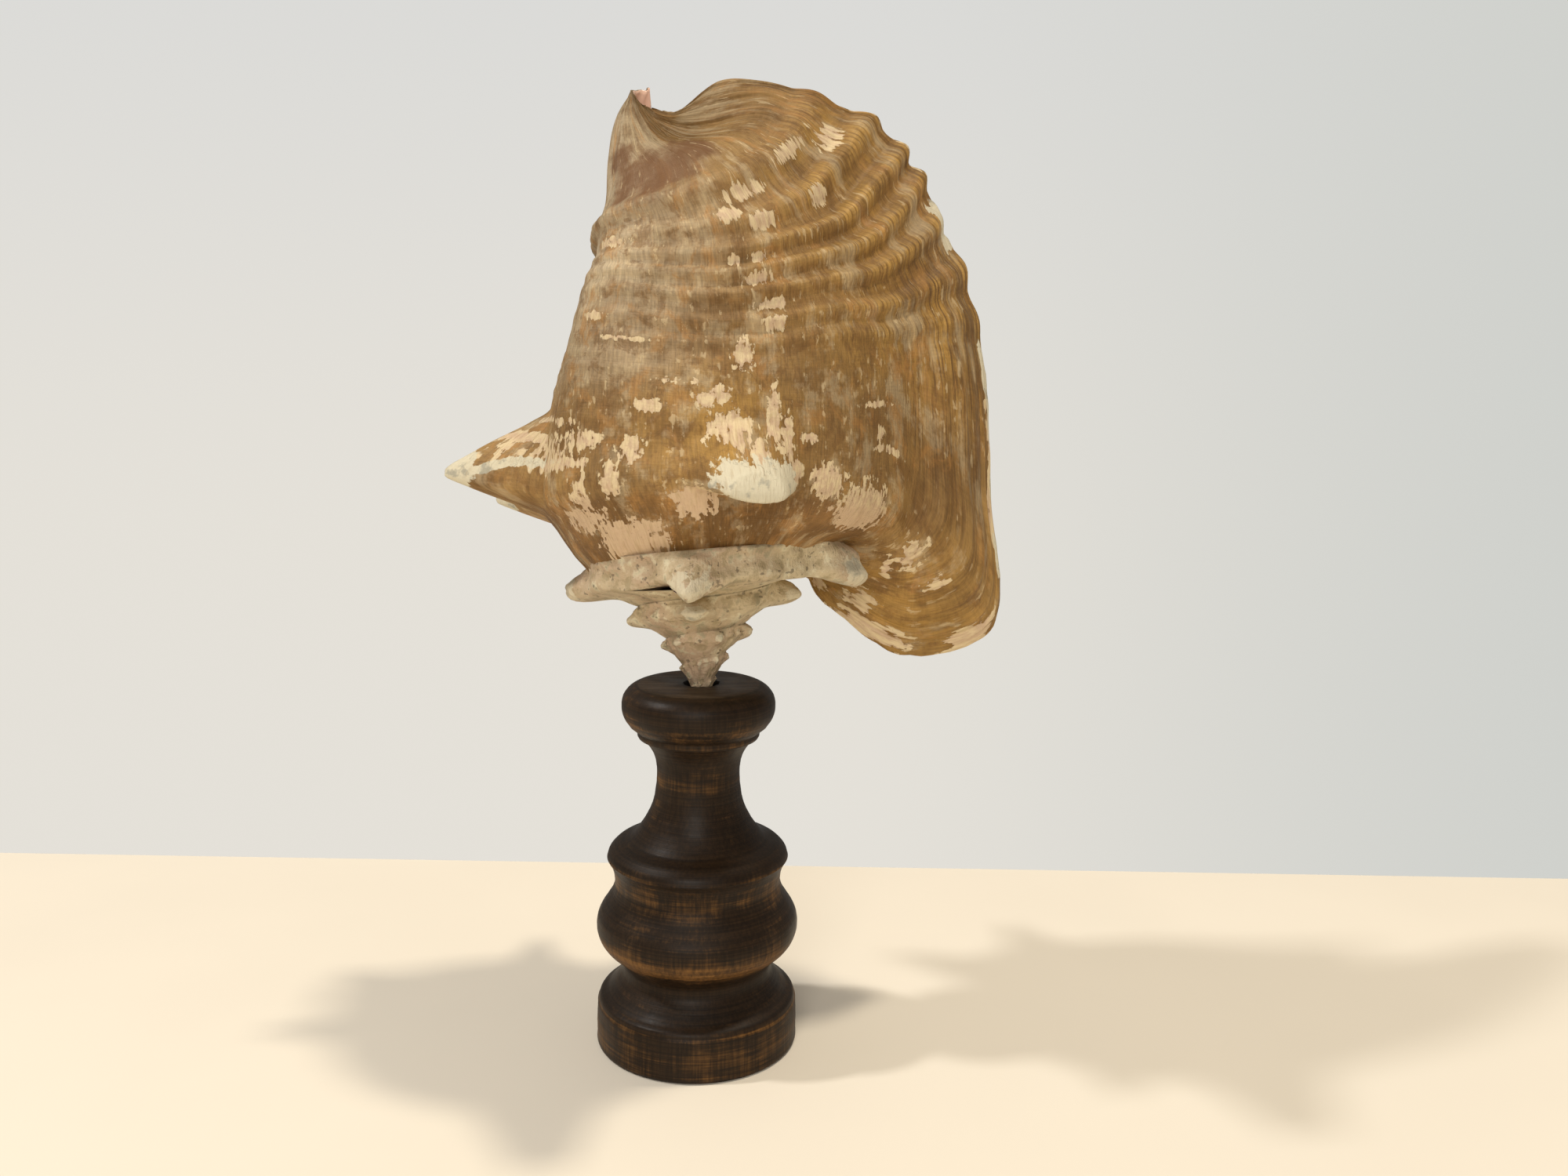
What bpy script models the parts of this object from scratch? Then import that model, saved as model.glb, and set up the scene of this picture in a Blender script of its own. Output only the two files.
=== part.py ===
"""Conch shell standing spire down in a turned wooden stand.

Metres, +Z up.  The origin is the centre of the stand's underside.
Two nodes: the natural shell, which grew as one piece, and the turned stand.
"""
import math

import bmesh
import bpy
import numpy as np
from mathutils import Matrix, Vector

MM = 0.001

# Stand, in millimetres: a spindle turned from one square of 76 mm stock.
STAND_HEIGHT = 138.5
STAND_SEGMENTS = 36
APEX_HOLE_RADIUS = 6.6
APEX_HOLE_DEPTH = 9.0
APEX_HOLE_CENTRE = (0.8, 1.0)

# Shell, in millimetres, in its own frame: the apex is the origin and the coil axis is +Z.
APEX_ON_STAND = (1.0, 0.0, 131.5)
LEAN_BACK = 10.0
LEAN_LEFT = 2.0
WHORL_RATIO = 1.8
PREVIOUS_SHOULDER = 52.3
APEX_GROWTH = -1980
SPIRE_END = 60
SPIRE_STEP = 10
SPIRE_TIP = (0.0, 0.0, -0.45)
SPIRE_CROWN = (0.0, 0.0, 56.0)
LIP_GROWTH = 390
WALL = 4.0
LIP_EDGE_WALL = 2.4
SEAM_GROWTH = 206
CANAL_BACK = 112

LAST_KNOB_EARLY = 9
SLOWER_GROWTH = -60

# Slit: length along the whorl, depth, height; and its place on the spire.
SLIT = (15.0, 16.0, 3.2)
SLIT_TILT = 4
SLIT_CENTRE = (-10.5, -32.0, 40.0)

# Height of the knobbed shoulder along the spire, by growth angle.
SHOULDER_RISE = [(-1980, 0.5), (-1620, 5.0), (-1260, 12.5), (-900, 21.0),
                 (-540, 31.0), (-180, 42.5), (0, 51.0), (60, 58.0)]
# The knob on the right of the whorl before sits higher than its neighbours.
KNOB_LIFT = 3.4
KNOB_LIFT_AT = -360
KNOB_LIFT_HALF = 38

# The last whorl.  Each station is one growth line of the shell, from the suture (v = 0)
# over the shoulder (v = 0.18) to the end of the canal (v = 1).
STATION_V = [0.0, 0.10, 0.18, 0.25, 0.34, 0.47, 0.62, 0.72, 0.78, 0.84, 0.90, 0.95, 1.0]
STATIONS = [
    (40, [(24, 20, 44), (32, 27, 51), (39, 33, 57), (37, 31, 70), (34, 29, 83),
          (30, 26, 101), (25, 22, 124), (19, 17, 142), (14, 14, 155), (9, 12, 168),
          (2, 11, 181), (-4, 10, 193), (-9, 9, 205)]),
    (100, [(-6, 35, 47), (-8, 45, 56), (-9, 54, 63), (-9, 51, 78), (-9, 48, 93),
           (-9, 45, 112), (-10, 38, 136), (-12, 31, 153), (-14, 27, 165), (-15, 21, 181),
           (-15, 16, 201), (-14, 12, 218), (-16, 9, 230)]),
    (150, [(-33, 19, 49), (-41, 24, 61), (-49, 28, 71), (-47, 27, 88), (-44, 26, 105),
           (-41, 24, 124), (-36, 21, 147), (-33, 18, 159), (-32, 17, 170), (-29, 14, 182),
           (-28, 14, 198), (-25, 11, 214), (-18, 8, 230)]),
    (180, [(-42, 0, 50), (-51, 0, 63), (-57, 0, 74), (-55, 0, 92), (-52, 0, 109),
           (-47, 0, 127), (-39, 0, 152), (-34, 6, 161), (-36, 7, 169), (-33, 7, 183),
           (-31, 7, 200), (-28, 5, 215), (-20, 7, 230)]),
    (202, [(-41, -15, 51), (-49, -17, 65), (-55, -18, 75), (-53, -18, 93), (-50, -17, 110),
           (-45, -16, 129), (-38, -13, 152), (-33, -9, 161), (-35, -6, 169), (-32, -2, 184),
           (-31, 0, 201), (-28, -1, 215), (-21, 5, 229)]),
    (238, [(-26, -36, 52), (-31, -45, 66), (-36, -49, 76), (-35, -48, 90), (-34, -46, 107),
           (-32, -43, 126), (-29, -38, 150), (-27, -33, 163), (-27, -28, 172), (-25, -20, 186),
           (-26, -13, 201), (-25, -10, 214), (-22, 2, 228)]),
    (275, [(13, -44, 55), (14, -55, 67), (14, -61, 77), (14, -59, 86), (14, -57, 101),
           (14, -53, 120), (13, -49, 145), (11, -44, 164), (5, -40, 178), (-1, -30, 192),
           (-12, -21, 201), (-18, -15, 212), (-22, -2, 226)]),
    (315, [(37, -33, 57), (47, -40, 64), (52, -44, 72), (54, -43, 84), (54, -42, 100),
           (53, -41, 124), (46, -38, 153), (36, -36, 173), (25, -33, 188), (14, -26, 199),
           (-4, -22, 202), (-14, -17, 211), (-20, -6, 222)]),
    (350, [(50, -4, 57), (66, -2, 58), (76, -2, 66), (79, -4, 79), (80, -7, 101),
           (78, -12, 130), (66, -18, 164), (49, -22, 187), (36, -22, 200), (24, -21, 207),
           (2, -20, 205), (-11, -17, 210), (-18, -9, 219)]),
    (372, [(44, 15, 52), (61, 13, 44), (80, 12, 38), (100, 11, 47), (101, 9, 84),
           (98, 9, 136), (80, 3, 181), (60, -5, 205), (42, -10, 213), (27, -14, 218),
           (6, -18, 213), (-7, -17, 211), (-15, -12, 216)]),
    (390, [(38, 27, 50), (50, 23, 32), (80, 23, 14), (113, 31, 24), (114, 35, 76),
           (111, 37, 140), (88, 25, 197), (67, 10, 218), (46, 0, 224), (27, -9, 226.5),
           (10, -14, 224.5), (-3, -16, 213), (-11, -14, 214)]),
]

# The columella, the pillar that the whorls wind round: v, radius, height.
COLUMELLA = [(0.0, 38, 50), (0.10, 38, 60), (0.18, 36, 68), (0.25, 32, 80), (0.34, 27, 93),
             (0.47, 22, 113), (0.62, 18, 137), (0.72, 16, 154), (0.78, 14, 165), (0.86, 10, 182)]

# How deep the surface inside the opening lies towards the columella: growth angle, share.
HOLLOW = [(228, 0.25), (240, 0.75), (252, 1.0), (280, 1.0), (305, 1.0), (330, 1.0),
          (350, 0.99), (362, 0.95), (372, 0.87), (380, 0.76), (387, 0.64), (394, 0.46)]
PILLAR_TOP_V = 0.872
PILLAR_FOOT = (0.0, 0.0, 38.0)
PILLAR_HEAD = (-20.0, 6.0, 192.0)
CANAL_AXIS = (-13.0, 3.0)

# Where the grids of the last whorl have their rows and columns: v of the columns, growth
# angles of the body's rows, and shares of the way from the seam to the lip for the wall.
COLUMN_V = [0.0, 0.05, 0.09, 0.125, 0.155, 0.18, 0.205, 0.23, 0.255, 0.285, 0.33, 0.38, 0.43,
            0.46, 0.485, 0.508, 0.53, 0.557, 0.585, 0.606, 0.628, 0.649, 0.67, 0.695,
            0.72, 0.75, 0.78, 0.81, 0.84, 0.87, 0.90, 0.925, 0.95, 0.975, 1.0]
BODY_ROWS = [40, 50, 57, 62, 67, 75, 85, 95, 100, 105, 110, 118, 128, 137, 142, 147, 152,
             157, 162, 167, 175, 181, 186, 191, 196, 201, 206, 211, 217]
WALL_SHARES = [0.0, 0.03, 0.07, 0.12, 0.17, 0.22, 0.27, 0.32, 0.355, 0.38, 0.405, 0.43, 0.455,
               0.49, 0.53, 0.57, 0.62, 0.67, 0.72, 0.76, 0.80, 0.85, 0.90, 0.95, 1.0]

# Raised spiral cords of the last whorl: v of the crest, height, half width.
# They start faint at the back and grow from CORDS_GROW to their full height at the lip.
FAINT_CORD = 0.15
CORDS_GROW = 215
LIP_CORD_EXTRA = 0.55
FOLD = 0.78
FOLD_FACTOR = 1.2
CORDS = [(FOLD, 1.8, 0.026), (0.72, 1.9, 0.020), (0.67, 2.2, 0.018), (0.628, 2.2, 0.018),
         (0.585, 2.0, 0.018), (0.53, 1.6, 0.020), (0.485, 0.9, 0.020)]

# Shoulder spines: growth angle and v of the root, reach, angular half width,
# v half widths towards the suture and towards the canal, share of the width that is blunt.
SPINES = [
    ((152, 0.17), (-34, 12, 9), 15, 0.06, 0.10, 0.10),
    ((191, 0.19), (-35, -2, 8), 17, 0.045, 0.14, 0.06),
    ((281, 0.185), (4, -28, -8), 19, 0.052, 0.13, 0.42),
    ((62, 0.17), (16, 20, -1), 13, 0.06, 0.09, 0.15),
    ((105, 0.17), (-4, 22, 2), 13, 0.06, 0.09, 0.15),
]


def hermite(knots, values, t):
    """Smooth curve through the values at the knots."""
    knots = np.asarray(knots, float)
    values = np.asarray(values, float)
    t = min(max(t, knots[0]), knots[-1])
    i = min(int(np.searchsorted(knots, t, side="right")) - 1, len(knots) - 2)

    def slope(k):
        if k == 0:
            return (values[1] - values[0]) / (knots[1] - knots[0])
        if k == len(knots) - 1:
            return (values[-1] - values[-2]) / (knots[-1] - knots[-2])
        before = (values[k] - values[k - 1]) / (knots[k] - knots[k - 1])
        after = (values[k + 1] - values[k]) / (knots[k + 1] - knots[k])
        weight = (knots[k] - knots[k - 1]) / (knots[k + 1] - knots[k - 1])
        return before * (1 - weight) + after * weight

    span = knots[i + 1] - knots[i]
    s = (t - knots[i]) / span
    return ((2 * s ** 3 - 3 * s ** 2 + 1) * values[i] + (s ** 3 - 2 * s ** 2 + s) * span * slope(i)
            + (3 * s ** 2 - 2 * s ** 3) * values[i + 1] + (s ** 3 - s ** 2) * span * slope(i + 1))


def ease(x):
    """Smooth step from 0 to 1."""
    x = min(max(x, 0.0), 1.0)
    return x * x * (3 - 2 * x)


def body_point(g, v):
    """Outer surface of the last whorl, without cords and spines."""
    across = [hermite(STATION_V, points, v) for _, points in STATIONS]
    return hermite([angle for angle, _ in STATIONS], across, g)


def body_normal(g, v):
    """Outward direction of the last whorl's surface."""
    along = body_point(min(g + 3, LIP_GROWTH), v) - body_point(g - 3, v)
    up = body_point(g, min(v + 0.02, 1.0)) - body_point(g, max(v - 0.02, 0.0))
    normal = np.cross(along, up)
    return normal / max(np.linalg.norm(normal), 1e-9)


def cord_height(g, v):
    """Height of the spiral cords, strongest towards the lip."""
    strength = FAINT_CORD + (1 - FAINT_CORD) * ease((g - CORDS_GROW) / 75)
    strength += LIP_CORD_EXTRA * ease((g - 300) / 50)
    if g < 130:
        strength *= ease((g - 70) / 60)
    total = 0.0
    for crest, height, half in CORDS:
        reach = abs(v - crest) / half
        if crest == FOLD and g > 150:
            height *= FOLD_FACTOR / strength
        if reach < 1.0:
            total += height * strength * (1 + math.cos(math.pi * reach)) / 2
    return total


def spine_offset(g, v):
    """Displacement of the surface by the shoulder spines."""
    offset = np.zeros(3)
    for (root_g, root_v), reach, half_g, low_v, high_v, blunt in SPINES:
        dv = (v - root_v) / (high_v if v > root_v else low_v)
        distance = math.hypot((g - root_g) / half_g, dv)
        if distance < 1.0:
            offset += np.array(reach) * min(1.0, (1 - distance) / (1 - blunt)) ** 1.35
    return offset


def outer_point(g, v):
    """Outer surface of the last whorl with cords and spines."""
    return body_point(g, v) + body_normal(g, v) * cord_height(g, v) + spine_offset(g, v)


def shoulder(g):
    """Radius and height of the spire's shoulder line at a growth angle."""
    radius = PREVIOUS_SHOULDER * WHORL_RATIO ** (min(g, SLOWER_GROWTH) / 360)
    radius += 0.035 * max(0.0, g - SLOWER_GROWTH)
    angles = [a for a, _ in SHOULDER_RISE]
    heights = [h for _, h in SHOULDER_RISE]
    lift = KNOB_LIFT * math.exp(-((g - KNOB_LIFT_AT) / KNOB_LIFT_HALF) ** 2)
    return radius, float(hermite(angles, heights, g)) + lift


def knob(g):
    """How far along a knob of the spire a growth angle lies, 1 at its tip."""
    spacing = 90 if g > -585 else (60 if g > -930 else 45)
    g += LAST_KNOB_EARLY * ease((g + 80) / 60)
    half = spacing * 0.2
    nearest = round(g / spacing) * spacing
    return max(0.0, 1 - abs(g - nearest) / half)


def suture(g):
    """Point where the whorl at growth g meets the whorl before it."""
    radius, height = shoulder(g - 360)
    if g - 360 < APEX_GROWTH:
        share = max(0.0, (g - APEX_GROWTH) / 360)
        return 0.6 + 1.5 * share, -0.4 + 1.3 * share
    return radius * 1.03, height + radius * 0.2


def spire_row(g):
    """Exposed profile of a spire whorl: suture, ramp, shoulder, next suture."""
    radius, height = shoulder(g)
    low_r, low_h = suture(g)
    high_r, high_h = suture(g + 360)
    bump = knob(g) * ease((g - APEX_GROWTH) / 200)
    tip = radius * (1 + (0.22 + 0.06 * ease((g + 585) / 50)) * bump)
    droop = radius * (0.02 + 0.08 * bump * ease((g + 200) / 180))
    profile = [
        (low_r, low_h),
        (low_r * 0.45 + radius * 0.55, low_h * 0.5 + height * 0.5 - radius * 0.01),
        (radius * 0.96 + (tip - radius) * 0.85, height - radius * (0.05 + 0.06 * bump) - droop * 0.9),
        (tip, height - droop),
        (radius * 1.0 + (tip - radius) * 0.75, height + radius * 0.09 - droop * 0.7),
        (high_r, high_h),
    ]
    phi = math.radians(g)
    return [(r * math.cos(phi), r * math.sin(phi), h) for r, h in profile]


def mesh_object(name, points, faces):
    """Closed mesh object from points in millimetres."""
    mesh = bpy.data.meshes.new(name)
    mesh.from_pydata([tuple(c * MM for c in p) for p in points], [], faces)
    shape = bmesh.new()
    shape.from_mesh(mesh)
    bmesh.ops.remove_doubles(shape, verts=shape.verts, dist=0.00002)
    bmesh.ops.triangulate(shape, faces=shape.faces)
    bmesh.ops.recalc_face_normals(shape, faces=shape.faces)
    shape.to_mesh(mesh)
    shape.free()
    item = bpy.data.objects.new(name, mesh)
    bpy.context.collection.objects.link(item)
    return item


def material(name, colour, roughness):
    """Plain Principled material."""
    item = bpy.data.materials.new(name)
    item.use_nodes = True
    shader = item.node_tree.nodes["Principled BSDF"]
    shader.inputs["Base Color"].default_value = (*colour, 1.0)
    shader.inputs["Roughness"].default_value = roughness
    shader.inputs["Metallic"].default_value = 0.0
    item.diffuse_color = (*colour, 1.0)
    return item


def make_spire():
    """Spire of coiled whorls with its knobs, closed at the top inside the body."""
    angles = list(range(APEX_GROWTH, SPIRE_END + 1, SPIRE_STEP))
    turn = 360 // SPIRE_STEP
    rows = [spire_row(a) for a in angles]
    points = []
    index = {}
    top = len(rows[0]) - 1

    def vertex(i, j):
        if j == top and i + turn < len(rows):
            i, j = i + turn, 0
        if (i, j) not in index:
            index[i, j] = len(points)
            points.append(rows[i][j])
        return index[i, j]

    faces = []
    for i in range(len(rows) - 1):
        for j in range(top):
            faces.append((vertex(i, j), vertex(i + 1, j), vertex(i + 1, j + 1), vertex(i, j + 1)))
    apex = len(points)
    points.append(SPIRE_TIP)
    for i in range(turn):
        faces.append((vertex(i + 1, 0), vertex(i, 0), apex))
    first_row = [vertex(0, j) for j in range(top + 1)]
    for a, b in zip(first_row, first_row[1:]):
        faces.append((a, b, apex))
    crown = len(points)
    points.append(SPIRE_CROWN)
    last = len(rows) - 1
    for i in range(last - turn, last):
        faces.append((vertex(i, top), vertex(i + 1, top), crown))
    last_row = [vertex(last, j) for j in range(top + 1)]
    for a, b in zip(last_row, last_row[1:]):
        faces.append((a, b, crown))
    return mesh_object("spire", points, faces)


def seam(v):
    """Growth angle at which the free wall of the last whorl starts."""
    return SEAM_GROWTH + (CANAL_BACK - SEAM_GROWTH) * ease((v - 0.66) / 0.20)


def make_core():
    """Body of the last whorl's first half and the columella inside the opening."""
    columns = [v for v in COLUMN_V if v <= PILLAR_TOP_V]
    rows = []
    columella_v = [v for v, _, _ in COLUMELLA]
    columella_values = [(r, h) for _, r, h in COLUMELLA]

    def pillar_point(g, v):
        radius, height = hermite(columella_v, columella_values, v)
        shift = 16 * ease((height - 110) / 90)
        phi = math.radians(g)
        return np.array([radius * math.cos(phi) - shift, radius * math.sin(phi) + shift * 0.3,
                         height])

    for g in BODY_ROWS:
        row = []
        for v in columns:
            under = 1.3 * ease((g - seam(v) - 2) / 6)
            point = outer_point(g, v) - body_normal(g, v) * under
            if v == 0.0:
                axis = Vector((point[0], point[1], 0.0)).normalized()
                point = point - np.array((axis.x * 3.0, axis.y * 3.0, 2.5))
            inward = 0.30 * (1 - ease((g - 30) / 45))
            row.append(point * (1 - inward) + pillar_point(g, v) * inward)
        rows.append(row)
    first, last = rows[0], rows[-1]
    for g, depth in HOLLOW:
        row = []
        for k, v in enumerate(columns):
            edge = last[k] if g < 300 else first[k]
            row.append(pillar_point(g, v) * depth + edge * (1 - depth))
        rows.append(row)
    points = [p for row in rows for p in row]
    width = len(columns)
    count = len(rows)
    faces = []
    for i in range(count):
        n = (i + 1) % count
        for j in range(width - 1):
            faces.append((i * width + j, n * width + j, n * width + j + 1, i * width + j + 1))
    foot = len(points)
    points.append(PILLAR_FOOT)
    head = foot + 1
    points.append(PILLAR_HEAD)
    for i in range(count):
        n = (i + 1) % count
        faces.append((n * width, i * width, foot))
        faces.append((i * width + width - 1, n * width + width - 1, head))
    return mesh_object("core", points, faces)


def make_wall():
    """Free wall of the last whorl with the flared lip and the canal."""
    columns = COLUMN_V
    outer = []
    inner = []
    for share in WALL_SHARES:
        out_row = []
        in_row = []
        for v in columns:
            start = seam(v)
            g = start + (LIP_GROWTH - start) * share
            normal = body_normal(g, v)
            out_of_canal = body_point(g, v) - np.array((*CANAL_AXIS, 0.0))
            out_of_canal[2] = 3.0
            out_of_canal /= np.linalg.norm(out_of_canal)
            round_tip = ease((v - 0.90) / 0.07)
            normal = normal * (1 - round_tip) + out_of_canal * round_tip
            buried = 2.0 * (1 - ease((g - start) / 7)) * (1 - ease((v - 0.80) / 0.06))
            point = outer_point(g, v) - normal * buried
            thin = 1 - ease((share - 0.80) / 0.20)
            wall = LIP_EDGE_WALL + (WALL - LIP_EDGE_WALL) * thin
            wall *= 1 - 0.4 * ease((v - 0.72) / 0.10) - 0.25 * ease((v - 0.88) / 0.06)
            smooth = body_point(g, v) - normal * (buried + wall)
            if v == 0.0:
                axis = Vector((point[0], point[1], 0.0)).normalized()
                point = point - np.array((axis.x * 4.0, axis.y * 4.0, 3.0))
                smooth = smooth - np.array((axis.x * 5.0, axis.y * 5.0, 2.0))
            out_row.append(point)
            in_row.append(smooth)
        outer.append(out_row)
        inner.append(in_row)
    width = len(columns)
    count = len(WALL_SHARES)
    points = [p for row in outer for p in row] + [p for row in inner for p in row]
    half = width * count
    faces = []
    for i in range(count - 1):
        for j in range(width - 1):
            a, b = i * width + j, (i + 1) * width + j
            faces.append((a, b, b + 1, a + 1))
            faces.append((half + a, half + a + 1, half + b + 1, half + b))
    for i in range(count - 1):
        for j in (0, width - 1):
            a, b = i * width + j, (i + 1) * width + j
            faces.append((a, b, half + b, half + a))
    for j in range(width - 1):
        for i in (0, count - 1):
            a = i * width + j
            faces.append((a, a + 1, half + a + 1, half + a))
    return mesh_object("wall", points, faces)


def make_slit():
    """Cutter for the narrow slit in the whorl before the last."""
    bpy.ops.mesh.primitive_cylinder_add(vertices=10, radius=0.5, depth=1.0)
    cutter = bpy.context.object
    cutter.data.transform(Matrix.Diagonal((SLIT[0] * MM, SLIT[1] * MM, SLIT[2] * MM, 1.0)))
    cutter.data.transform(Matrix.Rotation(math.radians(SLIT_TILT), 4, "Y"))
    cutter.data.transform(Matrix.Translation(Vector(SLIT_CENTRE) * MM))
    return cutter


def merge(target, other, operation):
    """Apply an exact boolean and remove the second object."""
    modifier = target.modifiers.new("merge", "BOOLEAN")
    modifier.operation = operation
    modifier.solver = "EXACT"
    modifier.object = other
    depsgraph = bpy.context.evaluated_depsgraph_get()
    result = bpy.data.meshes.new_from_object(target.evaluated_get(depsgraph))
    target.modifiers.clear()
    target.data = result
    bpy.data.objects.remove(other)


def tidy(item):
    """Merge stray points, drop slivers and triangulate."""
    shape = bmesh.new()
    shape.from_mesh(item.data)
    bmesh.ops.remove_doubles(shape, verts=shape.verts, dist=0.00005)
    bmesh.ops.dissolve_degenerate(shape, edges=shape.edges, dist=0.00005)
    bmesh.ops.triangulate(shape, faces=shape.faces)
    bmesh.ops.recalc_face_normals(shape, faces=shape.faces)
    keep_largest(shape)
    shape.to_mesh(item.data)
    shape.free()


def keep_largest(shape):
    """Delete every island of faces but the one with the most points."""
    islands = []
    seen = set()
    for start in shape.verts:
        if start in seen:
            continue
        island = [start]
        seen.add(start)
        for point in island:
            for edge in point.link_edges:
                other = edge.other_vert(point)
                if other not in seen:
                    seen.add(other)
                    island.append(other)
        islands.append(island)
    islands.sort(key=len)
    for island in islands[:-1]:
        bmesh.ops.delete(shape, geom=island, context="VERTS")


def make_shell():
    """The whole conch shell."""
    shell = make_spire()
    merge(shell, make_core(), "UNION")
    merge(shell, make_wall(), "UNION")
    merge(shell, make_slit(), "DIFFERENCE")
    tidy(shell)
    shell.name = "conch_shell"
    shell.data.name = "conch_shell"
    placed = (Matrix.Translation(Vector(APEX_ON_STAND) * MM)
              @ Matrix.Rotation(math.radians(-LEAN_LEFT), 4, "Y")
              @ Matrix.Rotation(math.radians(-LEAN_BACK), 4, "X"))
    shell.matrix_world = placed
    shell.data.materials.clear()
    shell.data.materials.append(material("shell_tan", (0.52, 0.35, 0.19), 0.55))
    return shell


def stand_profile():
    """Outline of the turned stand, radius and height from the underside up."""
    base = [(37.6, 0), (37.9, 4), (37.8, 16), (36.9, 18.2), (34.3, 20), (30.6, 24), (28.3, 27.5)]
    bulb = [(28.2, 31), (31.5, 35.5), (35.2, 39), (37.4, 43), (37.9, 46.5), (37.2, 50.5),
            (34.6, 55), (32.0, 59), (31.0, 62), (31.2, 65), (31.9, 67.2)]
    bead = [(32.9, 67.7), (33.6, 69.4), (33.9, 72), (33.4, 74.4), (31.2, 77)]
    neck = [(25.2, 80), (21.6, 84), (18.9, 88.5), (17.0, 93), (15.8, 99), (15.4, 105),
            (15.9, 110), (17.4, 114)]
    head = [(20.2, 118), (22.4, 119), (22.6, 121), (25.6, 123.4), (27.8, 127), (28.4, 130.5),
            (27.8, 134), (25.4, 137), (21.8, STAND_HEIGHT)]
    return base + bulb + bead + neck + head


def make_stand():
    """Turned spindle with a small hole in its flat top for the spire's tip."""
    profile = stand_profile()
    points = []
    for radius, height in profile:
        for k in range(STAND_SEGMENTS):
            angle = 2 * math.pi * k / STAND_SEGMENTS
            points.append((radius * math.cos(angle), radius * math.sin(angle), height))
    faces = []
    for i in range(len(profile) - 1):
        for k in range(STAND_SEGMENTS):
            n = (k + 1) % STAND_SEGMENTS
            a, b = i * STAND_SEGMENTS, (i + 1) * STAND_SEGMENTS
            faces.append((a + k, a + n, b + n, b + k))
    faces.append(tuple(reversed(range(STAND_SEGMENTS))))
    top = (len(profile) - 1) * STAND_SEGMENTS
    faces.append(tuple(range(top, top + STAND_SEGMENTS)))
    stand = mesh_object("turned_stand", points, faces)
    bpy.ops.mesh.primitive_cone_add(
        vertices=20, radius1=APEX_HOLE_RADIUS * MM * 0.86, radius2=APEX_HOLE_RADIUS * MM * 1.02,
        depth=(APEX_HOLE_DEPTH + 1.0) * MM,
        location=(APEX_HOLE_CENTRE[0] * MM, APEX_HOLE_CENTRE[1] * MM,
                  (STAND_HEIGHT - APEX_HOLE_DEPTH + (APEX_HOLE_DEPTH + 1.0) / 2) * MM))
    merge(stand, bpy.context.object, "DIFFERENCE")
    tidy(stand)
    stand.data.materials.clear()
    stand.data.materials.append(material("stained_wood", (0.045, 0.022, 0.012), 0.42))
    return stand


def main():
    for item in list(bpy.data.objects):
        bpy.data.objects.remove(item)
    make_stand()
    make_shell()


main()
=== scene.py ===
"""Looks of a conch shell that stands spire down in a turned wooden stand.

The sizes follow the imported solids: millimetres in the shell's own frame, with the apex at
the origin and the coil axis up, then placed on the stand in metres.
"""
import math

import bpy
import numpy as np
from mathutils import Matrix, Vector


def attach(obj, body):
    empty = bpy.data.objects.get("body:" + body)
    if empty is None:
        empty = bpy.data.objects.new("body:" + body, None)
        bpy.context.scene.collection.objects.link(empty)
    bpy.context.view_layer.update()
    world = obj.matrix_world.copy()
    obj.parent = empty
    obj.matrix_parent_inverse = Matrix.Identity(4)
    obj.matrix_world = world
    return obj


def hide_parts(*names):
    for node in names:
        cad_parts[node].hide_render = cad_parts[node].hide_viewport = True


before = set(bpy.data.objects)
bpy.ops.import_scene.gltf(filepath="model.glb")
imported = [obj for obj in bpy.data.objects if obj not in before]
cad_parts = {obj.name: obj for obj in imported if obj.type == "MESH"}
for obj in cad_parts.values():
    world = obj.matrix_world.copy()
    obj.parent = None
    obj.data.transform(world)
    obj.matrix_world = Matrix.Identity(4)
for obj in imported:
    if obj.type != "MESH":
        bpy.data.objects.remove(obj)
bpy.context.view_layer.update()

bl_info = {
    "name": "Conch shell on a turned stand",
    "version": (1, 0, 0),
    "blender": (4, 5, 0),
    "location": "3D View > Sidebar > Conch shell",
    "description": "Builds the detailed shell, its wooden stand and a plain studio stage",
    "category": "Object",
}

MM = 0.001
COARSE = 1

# Rows and columns of the fine meshes, and sides of the stand.
WHORL_ROWS, WHORL_COLUMNS = 266, 276
BODY_COLUMNS = 232
SPIRE_COLUMNS = 30
STAND_SIDES = 192

# Where the shell's apex stands, and how the whorls widen. Growth angles are in degrees.
APEX_ON_STAND = (1.0, 0.0, 131.5)
WHORL_RATIO = 1.8
PREVIOUS_SHOULDER = 52.3
APEX_GROWTH = -1980
SPIRE_END = 60
BODY_START = 40.0
BODY_END = 217.0
LIP_GROWTH = 390
SEAM_GROWTH = 206
CANAL_BACK = 112
WALL = 4.0
LIP_EDGE_WALL = 2.4
LAST_KNOB_EARLY = 9
SLOWER_GROWTH = -60
# Narrow slit in the whorl before the last: growth angle, place on the profile, depth.
SLIT_GROWTH = -105
SLIT_PROFILE = 1.62
SLIT_DEPTH = 14.0
# Place of the knobs' tips on the spire's profile, which runs from suture (0) to suture (4).
TIP_AT = 2.3
# Blunt knob at the front of the spire's widest whorl: growth angle, place on the profile.
FRONT_KNOB = (-90, TIP_AT)
SPIRE_APEX = (0.0, 0.0, -0.45)
SPIRE_CROWN = (0.0, 0.0, 56.0)

# Millimetres along the last whorl for a degree of growth, and from suture to canal end.
MM_PER_DEGREE = 1.05
MM_ALONG = 235.0

# The knob on the right of the whorl before sits higher than its neighbours.
KNOB_LIFT = 3.4
KNOB_LIFT_AT = -360
KNOB_LIFT_HALF = 38

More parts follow.
